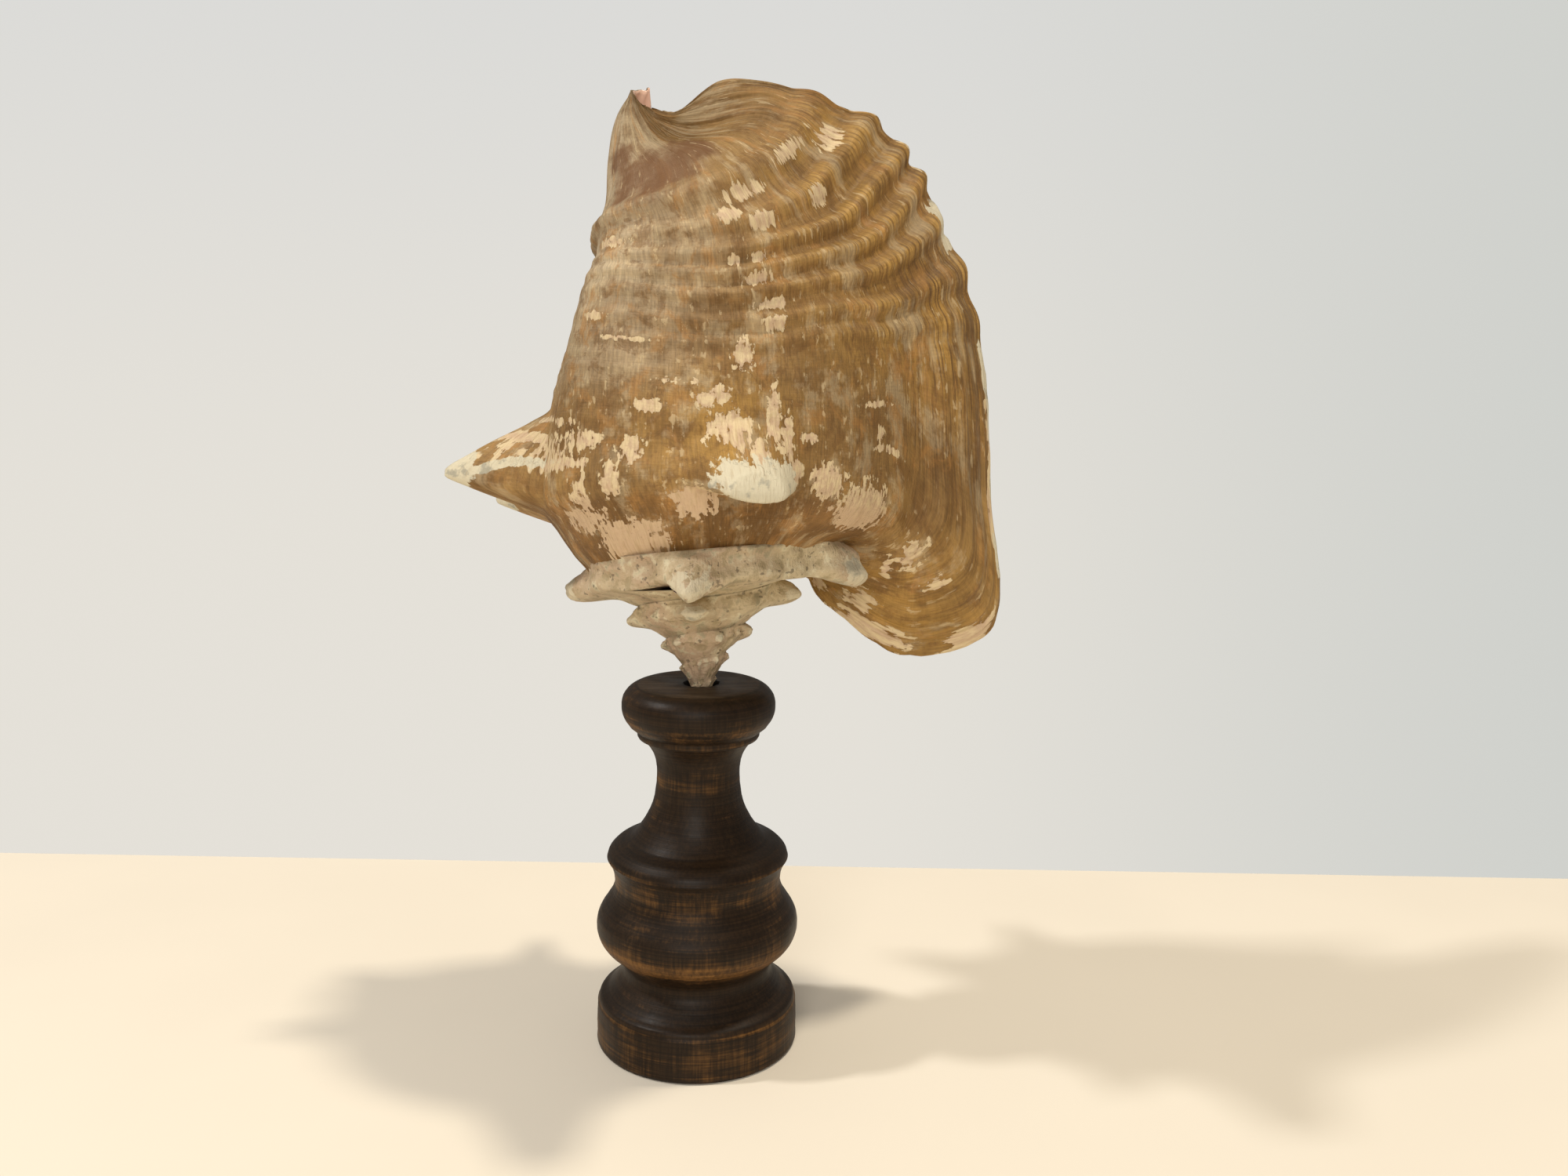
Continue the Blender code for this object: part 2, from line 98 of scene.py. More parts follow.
# Height of the spire's shoulder line at growth angles.
SHOULDER_RISE = [(-1980, 0.5), (-1620, 5.0), (-1260, 12.5), (-900, 21.0),
                 (-540, 31.0), (-180, 42.5), (0, 51.0), (60, 58.0)]

# Growth lines of the last whorl, from the suture (v = 0) to the end of the canal (v = 1).
STATION_V = [0.0, 0.10, 0.18, 0.25, 0.34, 0.47, 0.62, 0.72, 0.78, 0.84, 0.90, 0.95, 1.0]
STATIONS = [
    (40, [(24, 20, 44), (32, 27, 51), (39, 33, 57), (37, 31, 70), (34, 29, 83),
          (30, 26, 101), (25, 22, 124), (19, 17, 142), (14, 14, 155), (9, 12, 168),
          (2, 11, 181), (-4, 10, 193), (-9, 9, 205)]),
    (100, [(-6, 35, 47), (-8, 45, 56), (-9, 54, 63), (-9, 51, 78), (-9, 48, 93),
           (-9, 45, 112), (-10, 38, 136), (-12, 31, 153), (-14, 27, 165), (-15, 21, 181),
           (-15, 16, 201), (-14, 12, 218), (-16, 9, 230)]),
    (150, [(-33, 19, 49), (-41, 24, 61), (-49, 28, 71), (-47, 27, 88), (-44, 26, 105),
           (-41, 24, 124), (-36, 21, 147), (-33, 18, 159), (-32, 17, 170), (-29, 14, 182),
           (-28, 14, 198), (-25, 11, 214), (-18, 8, 230)]),
    (180, [(-42, 0, 50), (-51, 0, 63), (-57, 0, 74), (-55, 0, 92), (-52, 0, 109),
           (-47, 0, 127), (-39, 0, 152), (-34, 6, 161), (-36, 7, 169), (-33, 7, 183),
           (-31, 7, 200), (-28, 5, 215), (-20, 7, 230)]),
    (202, [(-41, -15, 51), (-49, -17, 65), (-55, -18, 75), (-53, -18, 93), (-50, -17, 110),
           (-45, -16, 129), (-38, -13, 152), (-33, -9, 161), (-35, -6, 169), (-32, -2, 184),
           (-31, 0, 201), (-28, -1, 215), (-21, 5, 229)]),
    (238, [(-26, -36, 52), (-31, -45, 66), (-36, -49, 76), (-35, -48, 90), (-34, -46, 107),
           (-32, -43, 126), (-29, -38, 150), (-27, -33, 163), (-27, -28, 172), (-25, -20, 186),
           (-26, -13, 201), (-25, -10, 214), (-22, 2, 228)]),
    (275, [(13, -44, 55), (14, -55, 67), (14, -61, 77), (14, -59, 86), (14, -57, 101),
           (14, -53, 120), (13, -49, 145), (11, -44, 164), (5, -40, 178), (-1, -30, 192),
           (-12, -21, 201), (-18, -15, 212), (-22, -2, 226)]),
    (315, [(37, -33, 57), (47, -40, 64), (52, -44, 72), (54, -43, 84), (54, -42, 100),
           (53, -41, 124), (46, -38, 153), (36, -36, 173), (25, -33, 188), (14, -26, 199),
           (-4, -22, 202), (-14, -17, 211), (-20, -6, 222)]),
    (350, [(50, -4, 57), (66, -2, 58), (76, -2, 66), (79, -4, 79), (80, -7, 101),
           (78, -12, 130), (66, -18, 164), (49, -22, 187), (36, -22, 200), (24, -21, 207),
           (2, -20, 205), (-11, -17, 210), (-18, -9, 219)]),
    (372, [(44, 15, 52), (61, 13, 44), (80, 12, 38), (100, 11, 47), (101, 9, 84),
           (98, 9, 136), (80, 3, 181), (60, -5, 205), (42, -10, 213), (27, -14, 218),
           (6, -18, 213), (-7, -17, 211), (-15, -12, 216)]),
    (390, [(38, 27, 50), (50, 23, 32), (80, 23, 14), (113, 31, 24), (114, 35, 76),
           (111, 37, 140), (88, 25, 197), (67, 10, 218), (46, 0, 224), (27, -9, 226.5),
           (10, -14, 224.5), (-3, -16, 213), (-11, -14, 214)]),
]
# Pillar that the whorls wind round: v, radius, height.
COLUMELLA = [(0.0, 38, 50), (0.10, 38, 60), (0.18, 36, 68), (0.25, 32, 80), (0.34, 27, 93),
             (0.47, 22, 113), (0.62, 18, 137), (0.72, 16, 154), (0.78, 14, 165), (0.86, 10, 182)]
# How far the hollow reaches in to the pillar at growth angles: 0 at the skin, 1 at the pillar.
HOLLOW = [(228, 0.25), (240, 0.75), (252, 1.0), (280, 1.0), (305, 1.0), (330, 1.0),
          (350, 0.99), (362, 0.95), (372, 0.87), (380, 0.76), (387, 0.64), (394, 0.46)]
PILLAR_V = 0.872
PILLAR_HEAD = (-20.0, 6.0, 192.0)
PILLAR_FOOT = (0.0, 0.0, 38.0)
HEAD_RINGS = 8
CANAL_AXIS = (-13.0, 3.0)

# Raised spiral cords: v of the crest, height, half width in v.
FOLD = 0.78
CORDS = [(FOLD, 1.8, 0.026), (0.72, 1.9, 0.020), (0.67, 2.2, 0.018), (0.628, 2.2, 0.018),
         (0.585, 2.0, 0.018), (0.53, 1.6, 0.020), (0.485, 0.9, 0.020)]

# Shoulder spines: growth angle and v of the root, reach, angular half width,
# v half widths towards the suture and towards the canal, share of the width that is blunt.
SPINES = [
    ((152, 0.17), (-34, 12, 9), 15, 0.06, 0.10, 0.10),
    ((191, 0.19), (-35, -2, 8), 17, 0.045, 0.14, 0.06),
    ((281, 0.185), (4, -28, -8), 19, 0.052, 0.13, 0.42),
    ((62, 0.17), (16, 20, -1), 13, 0.06, 0.09, 0.15),
    ((105, 0.17), (-4, 22, 2), 13, 0.06, 0.09, 0.15),
]

# Upright ridges along the lip: growth angle, height, half width.
LIP_RIDGES = [(362, 1.2, 1.8), (369.5, 1.5, 2.0), (377.5, 1.2, 1.7), (383.5, 0.7, 1.2)]

# Places where the brown skin has flaked: growth, v, half sizes of each, strength.
PEELED = [
    (281, 0.730, 6, 0.014, 1.0), (295, 0.710, 8, 0.014, 1.0), (280, 0.650, 3, 0.013, 0.8),
    (289, 0.650, 5, 0.013, 0.9), (287, 0.610, 6, 0.014, 0.9), (291, 0.560, 7, 0.013, 0.9),
    (291, 0.520, 5, 0.018, 0.9), (280, 0.460, 4, 0.045, 0.8), (289, 0.335, 2.2, 0.075, 0.9),
    (269, 0.350, 3, 0.022, 0.9), (273, 0.365, 4, 0.027, 0.8), (276, 0.295, 8, 0.045, 0.8),
    (293, 0.280, 2.2, 0.065, 0.9), (252, 0.245, 4, 0.03, 0.8), (247, 0.185, 2.6, 0.045, 0.9),
    (238, 0.260, 9, 0.022, 0.7), (215, 0.240, 26, 0.035, 0.6), (266, 0.130, 6, 0.05, 1.0),
    (246, 0.045, 13, 0.05, 1.0), (308, 0.200, 8, 0.04, 1.0), (326, 0.145, 13, 0.07, 1.0),
    (295, 0.220, 3, 0.035, 0.9), (300, 0.285, 3.5, 0.013, 0.9), (329, 0.355, 9, 0.008, 0.8),
    (335, 0.275, 12, 0.009, 0.7), (331, 0.300, 3, 0.017, 0.8), (296, 0.755, 14, 0.013, 0.8),
    (340, 0.770, 22, 0.011, 0.8), (366, 0.745, 9, 0.016, 0.8), (334, 0.710, 8, 0.014, 1.0),
    (239, 0.705, 9, 0.016, 0.8), (237, 0.525, 7, 0.011, 0.7), (361, 0.180, 4, 0.04, 0.7),
    (370, 0.210, 3, 0.025, 0.6), (380, 0.110, 6, 0.035, 0.6), (248, 0.480, 8, 0.007, 0.7),
    (262, 0.390, 9, 0.013, 0.5), (236, 0.155, 6, 0.06, 0.7), (232, 0.100, 12, 0.04, 0.8),
    (388, 0.590, 4, 0.016, 1.0), (389, 0.400, 3, 0.05, 0.9), (389, 0.330, 3, 0.03, 0.9),
    (222, 0.222, 22, 0.012, 1.0), (200, 0.262, 12, 0.012, 0.9), (206, 0.300, 10, 0.010, 0.8),
    (374, 0.060, 7, 0.016, 0.9), (386, 0.040, 4, 0.03, 0.9), (387, 0.140, 4, 0.05, 0.9),
    (364, 0.130, 5, 0.012, 0.8), (387, 0.230, 3, 0.03, 0.9), (256, 0.330, 5, 0.016, 0.8),
    (283, 0.265, 3, 0.03, 1.0), (288, 0.300, 2, 0.02, 1.0), (226, 0.290, 8, 0.010, 0.7),
    (120, 0.300, 12, 0.05, 0.7), (85, 0.420, 10, 0.02, 0.7), (135, 0.090, 14, 0.05, 0.9),
    (170, 0.560, 9, 0.014, 0.7), (160, 0.350, 4, 0.06, 0.7),
]
# Chips out of the lip's edge: v, half width, depth in degrees of growth.
LIP_CHIPS = [(0.580, 0.019, 2.6), (0.452, 0.014, 1.3), (0.300, 0.010, 0.9), (0.520, 0.006, 0.8)]
# White breaks along the lip's edge: v, half width, reach in degrees, strength.
LIP_WHITE = [(0.578, 0.036, 7.5, 1.0), (0.445, 0.030, 4.5, 1.0), (0.400, 0.030, 3.2, 1.0),
             (0.345, 0.014, 2.6, 0.9), (0.300, 0.018, 3.6, 1.0), (0.520, 0.010, 2.2, 0.8)]
# Dark reddish stain under the canal: growth, v, half sizes.
STAINS = [(262, 0.835, 34, 0.060), (292, 0.855, 18, 0.04), (238, 0.880, 20, 0.03)]
# A spine whose tip is this blunt or blunter has a broad worn tip.
BLUNT = 0.3

# Small colours that no setting holds: worn grey on the tips, marks on the bare spire, and painted shade in
# the spire's slit.
TIP_GREY = (0.26, 0.25, 0.21)
LUMP_PALE = (0.74, 0.66, 0.46)
LUMP_BROWN = (0.33, 0.255, 0.135)
SPECK_BROWN = (0.21, 0.165, 0.085)
DOT_BROWN = (0.12, 0.09, 0.055)
SLIT_SHADE = (0.050, 0.007, 0.020)
# The same for the wood: scratches, the cut top, dust, and painted shade in the hole and on the top round
# its mouth.
SCRATCH_BROWN = (0.26, 0.13, 0.04)
END_GRAIN_GREY = (0.11, 0.075, 0.045)
DUST = (0.16, 0.11, 0.075)
HOLE_SHADE = (0.008, 0.006, 0.005)

# Stand, in millimetres: whole height, middle of the hole, and depth and width of its steps.
STAND_HEIGHT = 138.5
HOLE_CENTRE = np.array((0.8, 1.0))
HOLE_STEPS = [(0.0, 1.0), (0.4, 0.95), (3.0, 0.90), (8.5, 0.86), (8.8, 0.4)]
# Outline of the stand as radius and height in millimetres, one list between creases.
STAND_OUTLINE = [
    [(37.2, 0), (37.7, 0.5), (37.9, 4), (37.8, 13), (37.7, 16)],
    [(37.3, 16.5), (36.9, 18.2), (34.3, 20), (30.6, 24), (28.3, 27.5), (28.2, 31), (31.5, 35.5),
     (35.2, 39), (37.4, 43), (37.9, 46.5), (37.2, 50.5), (34.6, 55), (32.2, 59), (31.2, 62),
     (31.1, 64.5), (31.6, 67.5), (32.5, 70.2), (33.9, 72.6)],
    [(33.8, 72.9), (33.4, 74.4), (31.2, 77), (25.2, 80), (21.6, 84),
     (18.9, 88.5), (17.0, 93), (15.8, 99), (15.4, 105), (15.9, 110), (17.4, 114), (20.2, 118)],
    [(22.2, 118.7), (22.6, 119.4), (22.6, 121)],
    [(25.6, 123.4), (27.8, 127), (28.4, 130.5), (27.8, 134), (25.4, 137), (22.6, 138.3), (21.4, 138.5)],
]
# Bands where the stain is rubbed thin: height, half height, strength.
RUBBED_BANDS = [(41.0, 5.0, 0.78), (65.0, 5.5, 0.50), (125.5, 3.6, 0.42), (6.5, 8.0, 0.42),
                (104.0, 4.0, 0.34), (95.0, 9.0, 0.10), (72.7, 0.8, 0.45), (16.5, 0.7, 0.5),
                (119.5, 1.2, 0.30), (51.0, 4.0, 0.12)]

# Stage, in metres.
FLOOR_REACH = 3.0
FLOOR_THICK = 0.02
FLOOR_GAP = 0.0002
LIGHT_AIM = Vector((0.0, 0.0, 0.18))
# Lights: name, place, size, power, colour, share of highlights.
LIGHTS = [("key_light", (0.85, 0.10, 2.90), 0.22, 37, (1.0, 0.90, 0.74), 1.0),
          ("second_light", (-1.90, -0.20, 2.40), 0.20, 35, (1.0, 0.97, 0.93), 1.0),
          ("front_fill", (-0.20, -2.2, 1.2), 1.0, 23, (1.0, 0.96, 0.90), 0.4)]
# Room: the wall behind, low, high and to the right, painted with shading that darkens it upwards and to the
# right, and the light that it gives.
WALL_FOOT = (0.78, 0.75, 0.69)
WALL_SHADED_TOP = (0.70, 0.70, 0.685)
WALL_SHADED_RIGHT = (0.62, 0.63, 0.60)
ROOM_LIGHT = (0.30, 0.285, 0.26)
CAMERA_LENS = 30.6
CAMERA_SENSOR = 36.0


class ShellSettings(bpy.types.PropertyGroup):
    lean_back: bpy.props.FloatProperty(
        name="Lean back", description="Tilt of the coil axis away from the viewer",
        default=math.radians(10), subtype="ANGLE")
    lean_left: bpy.props.FloatProperty(
        name="Lean left", description="Tilt of the coil axis towards the left",
        default=math.radians(2), subtype="ANGLE")
    wrinkle: bpy.props.FloatProperty(
        name="Growth wrinkles", description="Depth of the raised growth lines",
        default=0.00032, unit="LENGTH")
    tan: bpy.props.FloatVectorProperty(
        name="Tan skin", description="Main colour of the outer skin",
        default=(0.320, 0.188, 0.062), size=3, subtype="COLOR", min=0, max=1)
    mauve: bpy.props.FloatVectorProperty(
        name="Mauve skin", description="Greyer skin on the early part of the last whorl",
        default=(0.50, 0.395, 0.255), size=3, subtype="COLOR", min=0, max=1)
    amber: bpy.props.FloatVectorProperty(
        name="Amber skin", description="Warm skin on the cords, front spine and lobe",
        default=(0.385, 0.215, 0.050), size=3, subtype="COLOR", min=0, max=1)
    # Umber is also the colour of the painted shade in the valleys between the cords.
    umber: bpy.props.FloatVectorProperty(
        name="Umber skin", description="Dark brown skin below the shoulder and in growth lines",
        default=(0.190, 0.094, 0.026), size=3, subtype="COLOR", min=0, max=1)
    # Bead skin is a painted highlight, light amber, on the crests of the cords.
    bead: bpy.props.FloatVectorProperty(
        name="Bead skin", description="Light amber on the crests of the cords",
        default=(0.60, 0.365, 0.115), size=3, subtype="COLOR", min=0, max=1)
    line: bpy.props.FloatVectorProperty(
        name="Growth line", description="Dark brown of the growth lines near the lip",
        default=(0.135, 0.068, 0.022), size=3, subtype="COLOR", min=0, max=1)
    haze: bpy.props.FloatVectorProperty(
        name="Pale haze", description="Pale dusty clouds on the skin",
        default=(0.52, 0.40, 0.235), size=3, subtype="COLOR", min=0, max=1)
    orange: bpy.props.FloatVectorProperty(
        name="Orange clouds", description="Warm orange clouds on the skin",
        default=(0.40, 0.200, 0.056), size=3, subtype="COLOR", min=0, max=1)
    stain: bpy.props.FloatVectorProperty(
        name="Stain", description="Reddish brown stain under the canal",
        default=(0.175, 0.078, 0.028), size=3, subtype="COLOR", min=0, max=1)
    peeled: bpy.props.FloatVectorProperty(
        name="Peeled layer", description="Cream layer where the skin has flaked",
        default=(0.74, 0.58, 0.345), size=3, subtype="COLOR", min=0, max=1)
    blush: bpy.props.FloatVectorProperty(
        name="Blush layer", description="Pinkish layer in the large peeled patches",
        default=(0.62, 0.44, 0.28), size=3, subtype="COLOR", min=0, max=1)
    chalk: bpy.props.FloatVectorProperty(
        name="Chalky tips", description="Worn tips of the spines",
        default=(0.70, 0.63, 0.46), size=3, subtype="COLOR", min=0, max=1)
    spire: bpy.props.FloatVectorProperty(
        name="Spire", description="Pale bare shell of the spire",
        default=(0.58, 0.47, 0.295), size=3, subtype="COLOR", min=0, max=1)
    spire_pink: bpy.props.FloatVectorProperty(
        name="Pinkish spire", description="Pinker clouds on the bare shell of the spire",
        default=(0.50, 0.355, 0.235), size=3, subtype="COLOR", min=0, max=1)
    nacre: bpy.props.FloatVectorProperty(
        name="Pink lining", description="Glossy lining deep in the opening",
        default=(0.92, 0.60, 0.45), size=3, subtype="COLOR", min=0, max=1)
    rim: bpy.props.FloatVectorProperty(
        name="Pale lining", description="Glossy lining near the lip's edge",
        default=(0.86, 0.68, 0.50), size=3, subtype="COLOR", min=0, max=1)


class StandSettings(bpy.types.PropertyGroup):
    height: bpy.props.FloatProperty(
        name="Height", description="Height of the turned stand",
        default=0.1385, unit="LENGTH")
    hole: bpy.props.FloatProperty(
        name="Hole radius", description="Radius of the hole that holds the apex",
        default=0.0066, unit="LENGTH")
    stain: bpy.props.FloatVectorProperty(
        name="Dark stain", description="Near black stain of the wood",
        default=(0.0170, 0.0088, 0.0036), size=3, subtype="COLOR", min=0, max=1)
    rubbed: bpy.props.FloatVectorProperty(
        name="Rubbed wood", description="Brown where the stain is rubbed thin",
        default=(0.120, 0.056, 0.015), size=3, subtype="COLOR", min=0, max=1)


class StageSettings(bpy.types.PropertyGroup):
    floor_back: bpy.props.FloatProperty(
        name="Back edge", description="Distance from the origin to the floor's back edge",
        default=0.175, unit="LENGTH")
    floor_colour: bpy.props.FloatVectorProperty(
        name="Floor colour", description="Warm pale floor",
        default=(0.90, 0.82, 0.69), size=3, subtype="COLOR", min=0, max=1)
    camera_place: bpy.props.FloatVectorProperty(
        name="Camera place", description="Where the camera stands",
        default=(0.0308, -0.4787, 0.2556), size=3, subtype="TRANSLATION")
    camera_down: bpy.props.FloatProperty(
        name="Camera tilt", description="How far the camera looks down",
        default=math.radians(9.6), subtype="ANGLE")
    camera_roll: bpy.props.FloatProperty(
        name="Camera roll", description="Small turn of the picture",
        default=math.radians(0.95), subtype="ANGLE")


def ease(x):
    """Smooth step from 0 to 1."""
    x = np.clip(x, 0.0, 1.0)
    return x * x * (3 - 2 * x)


def smooth_curve(knots, values, t, columns=None):
    """Smooth curve through the values at the knots, for each t.

    With columns, values holds one curve for each column of t.
    """
    knots = np.asarray(knots, float)
    values = np.asarray(values, float)
    t = np.clip(np.asarray(t, float), knots[0], knots[-1])
    steps = np.diff(knots).reshape((-1,) + (1,) * (values.ndim - 1))
    rise = np.diff(values, axis=0) / steps
    weight = steps[:-1] / (steps[:-1] + steps[1:])
    slopes = np.concatenate([rise[:1], rise[:-1] * (1 - weight) + rise[1:] * weight, rise[-1:]])
    i = np.clip(np.searchsorted(knots, t, side="right") - 1, 0, len(knots) - 2)
    low = (i,) if columns is None else (i, columns)
    high = (i + 1,) if columns is None else (i + 1, columns)
    span = knots[i + 1] - knots[i]
    s = (t - knots[i]) / span
    extra = values[low].ndim - s.ndim
    s = s.reshape(s.shape + (1,) * extra)
    span = span.reshape(span.shape + (1,) * extra)
    return ((2 * s ** 3 - 3 * s ** 2 + 1) * values[low]
            + (s ** 3 - 2 * s ** 2 + s) * span * slopes[low]
            + (3 * s ** 2 - 2 * s ** 3) * values[high]
            + (s ** 3 - s ** 2) * span * slopes[high])


def soft_noise(x, y, seed):
    """Smooth random field from -1 to 1 with one value for each whole step of x and y."""
    x, y = np.broadcast_arrays(np.asarray(x, float), np.asarray(y, float))
    x0 = np.floor(x).astype(np.int64)
    y0 = np.floor(y).astype(np.int64)

    def corner(a, b):
        h = (a * 374761393 + b * 668265263 + seed * 974634777) & 0xFFFFFFFF
        h = ((h ^ (h >> 13)) * 1274126177) & 0xFFFFFFFF
        return ((h ^ (h >> 16)) & 0xFFFF) / 32767.5 - 1.0

    sx = ease(x - x0)
    sy = ease(y - y0)
    low = corner(x0, y0) * (1 - sx) + corner(x0 + 1, y0) * sx
    high = corner(x0, y0 + 1) * (1 - sx) + corner(x0 + 1, y0 + 1) * sx
    return low * (1 - sy) + high * sy


def unit(vectors):
    """The vectors at length one."""
    return vectors / np.maximum(np.linalg.norm(vectors, axis=-1, keepdims=True), 1e-9)


def body_surface(g, v):
    """Outer surface of the last whorl without cords, for a grid g of rows and its v columns."""
    across = np.stack([smooth_curve(STATION_V, points, v) for _, points in STATIONS])
    angles = [angle for angle, _ in STATIONS]
    return smooth_curve(angles, across, g, np.arange(len(v)))


def body_normals(g, v):
    """Outward directions of the last whorl's surface."""
    along = body_surface(np.minimum(g + 3, LIP_GROWTH), v) - body_surface(g - 3, v)
    up = body_surface(g, np.minimum(v + 0.02, 1.0)) - body_surface(g, np.maximum(v - 0.02, 0.0))
    return unit(np.cross(along, up))


def cord_crest(v):
    """How near each v is to the crest of a cord, 0 in the valleys and 1 on a crest."""
    crest = np.zeros_like(v)
    for centre, _, half in CORDS:
        crest = np.maximum(crest, ease(1 - np.abs(v - centre) / half))
    return crest


def cord_relief(g, v):
    """Height of the spiral cords, strongest towards the lip."""
    strength = 0.15 + 0.85 * ease((g - 215) / 75) + 0.55 * ease((g - 300) / 50)
    strength = np.where(g < 130, strength * ease((g - 70) / 60), strength)
    total = np.zeros(np.broadcast(g, v).shape)
    for crest, height, half in CORDS:
        wander = 0.0025 * soft_noise(g / 14, crest * 40, 3)
        reach = np.abs(v - crest - wander) / half
        lift = height * strength
        if crest == FOLD:
            lift = np.where(g > 150, height * 1.2, lift)
        bead = 1 + 0.12 * soft_noise(g / 3.2, crest * 60, 5) * ease((g - 300) / 40)
        total += lift * bead * ((1 + np.cos(np.pi * np.minimum(reach, 1))) / 2) ** 0.7
    for crest in (0.30, 0.37, 0.41, 0.445):
        reach = np.abs(v - crest) / 0.016
        faint = 0.28 * (0.5 + 0.5 * ease((262 - g) / 40))
        total += np.where(reach < 1, faint * (1 + np.cos(np.pi * np.minimum(reach, 1))) / 2, 0)
    return total


def wrinkle_relief(g, v, depth):
    """Height of the growth lines, coarser and deeper near the lip."""
    strip = ease((g - 338) / 25)
    fine = soft_noise(g / 1.3, v * 7 + 0.02 * g, 11)
    middle = soft_noise(g / 3.1, v * 5, 12)
    broad = soft_noise(g / 7.5, v * 3, 13)
    crowded = soft_noise(g / 1.9 + 0.6 * soft_noise(v * 6, g * 0, 15), v * 3.5, 14)
    return depth * (0.45 * fine + 0.7 * middle + 0.9 * broad + strip * (1.5 * crowded + 1.1 * middle))


def lip_relief(g, v):
    """Hollow and upright ridges of the skin along the lip, below the cords."""
    wander = 1.6 * soft_noise(v * 9, g * 0, 81)
    reach = ease((v - 0.14) / 0.06) * ease((0.48 - v) / 0.08)
    total = -2.0 * np.exp(-((g - 354 - wander) / 4.2) ** 2)
    for crest, height, half in LIP_RIDGES:
        total = total + height * np.exp(-((g - crest - wander) / half) ** 2)
    bumpy = soft_noise(g / 4.5, v * 26, 82) + 0.5 * soft_noise(g / 2.2, v * 50, 83)
    lobe = 0.5 * bumpy * ease((g - 350) / 12) * ease((0.30 - v) / 0.10)
    return total * reach + lobe


def spine_share(g, v, spine):
    """How far along a spine each point lies, 0 off it and 1 on its tip."""
    (root_g, root_v), _, half_g, low_v, high_v, blunt = spine
    dv = (v - root_v) / np.where(v > root_v, high_v, low_v)
    distance = np.sqrt(((g - root_g) / half_g) ** 2 + dv ** 2)
    return np.clip((1 - distance) / (1 - blunt), 0, 1)


def spine_offsets(g, v):
    """Displacement of the surface by the shoulder spines."""
    g, v = np.broadcast_arrays(g, v)
    offset = np.zeros(g.shape + (3,))
    for spine in SPINES:
        share = spine_share(g, v, spine)
        rounded = share ** 1.35
        rounded = np.where(share > 0.9, 0.9 ** 1.35 + (share - 0.9) * (1.25 - 2.6 * (share - 0.9)), rounded)
        offset += rounded[..., None] * np.array(spine[1], float)
    return offset


def skin_surface(g, v, depth):
    """Detailed outer surface of the last whorl."""
    normals = body_normals(g, v)
    chalky = chalk_mask(g, v)
    height = cord_relief(g, v) + lip_relief(g, v) + wrinkle_relief(g, v, depth) * (1 - 0.6 * chalky)
    return body_surface(g, v) + normals * height[..., None] + spine_offsets(g, v), normals


def seam(v):
    """Growth angle at which the free wall of the last whorl starts."""
    return SEAM_GROWTH + (CANAL_BACK - SEAM_GROWTH) * ease((v - 0.66) / 0.20)


def patches(g, v, spots):
    """Strength of the nearest patch: 1 at its middle and 0 outside."""
    total = np.zeros(np.broadcast(g, v).shape)
    for centre_g, centre_v, half_g, half_v, strength in spots:
        away = np.sqrt(((g - centre_g) / half_g) ** 2 + ((v - centre_v) / half_v) ** 2)
        total = np.maximum(total, strength * np.clip(1.35 - away, 0, 1))
    return total


def root_spot(spine):
    """Growth angle of a spine's root."""
    return spine[0][0]


def chalk_mask(g, v):
    """Worn white share of the spines' tips."""
    total = np.zeros(np.broadcast(g, v).shape)
    for spine in SPINES:
        share = spine_share(g, v, spine)
        if spine[5] >= BLUNT:
            left = ease((g - root_spot(spine) + 17 + 60 * (v - 0.20)) / 14)
            share = ease((share - 0.30) / 0.40) * ease((0.285 - v) / 0.060) * left
            total = np.maximum(total, share)
        else:
            total = np.maximum(total, ease((share - 0.68) / 0.16))
    tip_g, tip_v = SPINES[1][0]
    ridge_v = tip_v + 0.036 * ease(np.abs(g - tip_g) / 12)
    ridge = np.exp(-((v - ridge_v) / 0.008) ** 2) * ease((g - tip_g + 14) / 8)
    total = np.maximum(total, ridge * (1 - 0.55 * ease((g - tip_g - 8) / 18)) * ease((tip_g + 46 - g) / 12))
    for middle, half, reach, strength in LIP_WHITE:
        broken = ease((half - np.abs(v - middle)) / (half * 0.6)) * ease((g - LIP_GROWTH + reach) / 1.0)
        total = np.maximum(total, strength * broken)
    return total


def skin_marks(g, v):
    """Peeled, chalky, stained and crest shares of the outer skin."""
    peeled = patches(g, v, PEELED)
    edge = ease((g - 386.5) / 3.0) * (0.35 + 0.65 * ease(soft_noise(v * 30, g * 0, 21) * 0.9))
    peeled = np.maximum(peeled, edge * 0.7)
    stained = patches(g, v, [spot + (1.0,) for spot in STAINS])
    return np.stack([peeled, chalk_mask(g, v), stained, np.broadcast_to(cord_crest(v), peeled.shape)], -1)


def skin_tones(g, v):
    """Amber, banded, bare spire and lined shares of the outer skin."""
    cords = ease((g - 285) / 60) * ease((v - 0.36) / 0.1) * ease((0.80 - v) / 0.05)
    front = np.clip(1.3 - np.sqrt(((g - 276) / 24) ** 2 + ((v - 0.30) / 0.13) ** 2), 0, 1)
    lobe = ease((g - 352) / 18) * ease((0.32 - v) / 0.12) * 0.75
    amber = np.maximum(np.maximum(cords * 0.9, front), lobe)
    banded = ease((g - 300) / 36) * (0.6 + 0.4 * ease((0.5 - v) / 0.2))
    shape = np.broadcast(g, v).shape
    return np.stack([np.broadcast_to(amber, shape), np.broadcast_to(banded, shape),
                     np.zeros(shape), np.zeros(shape)], -1)


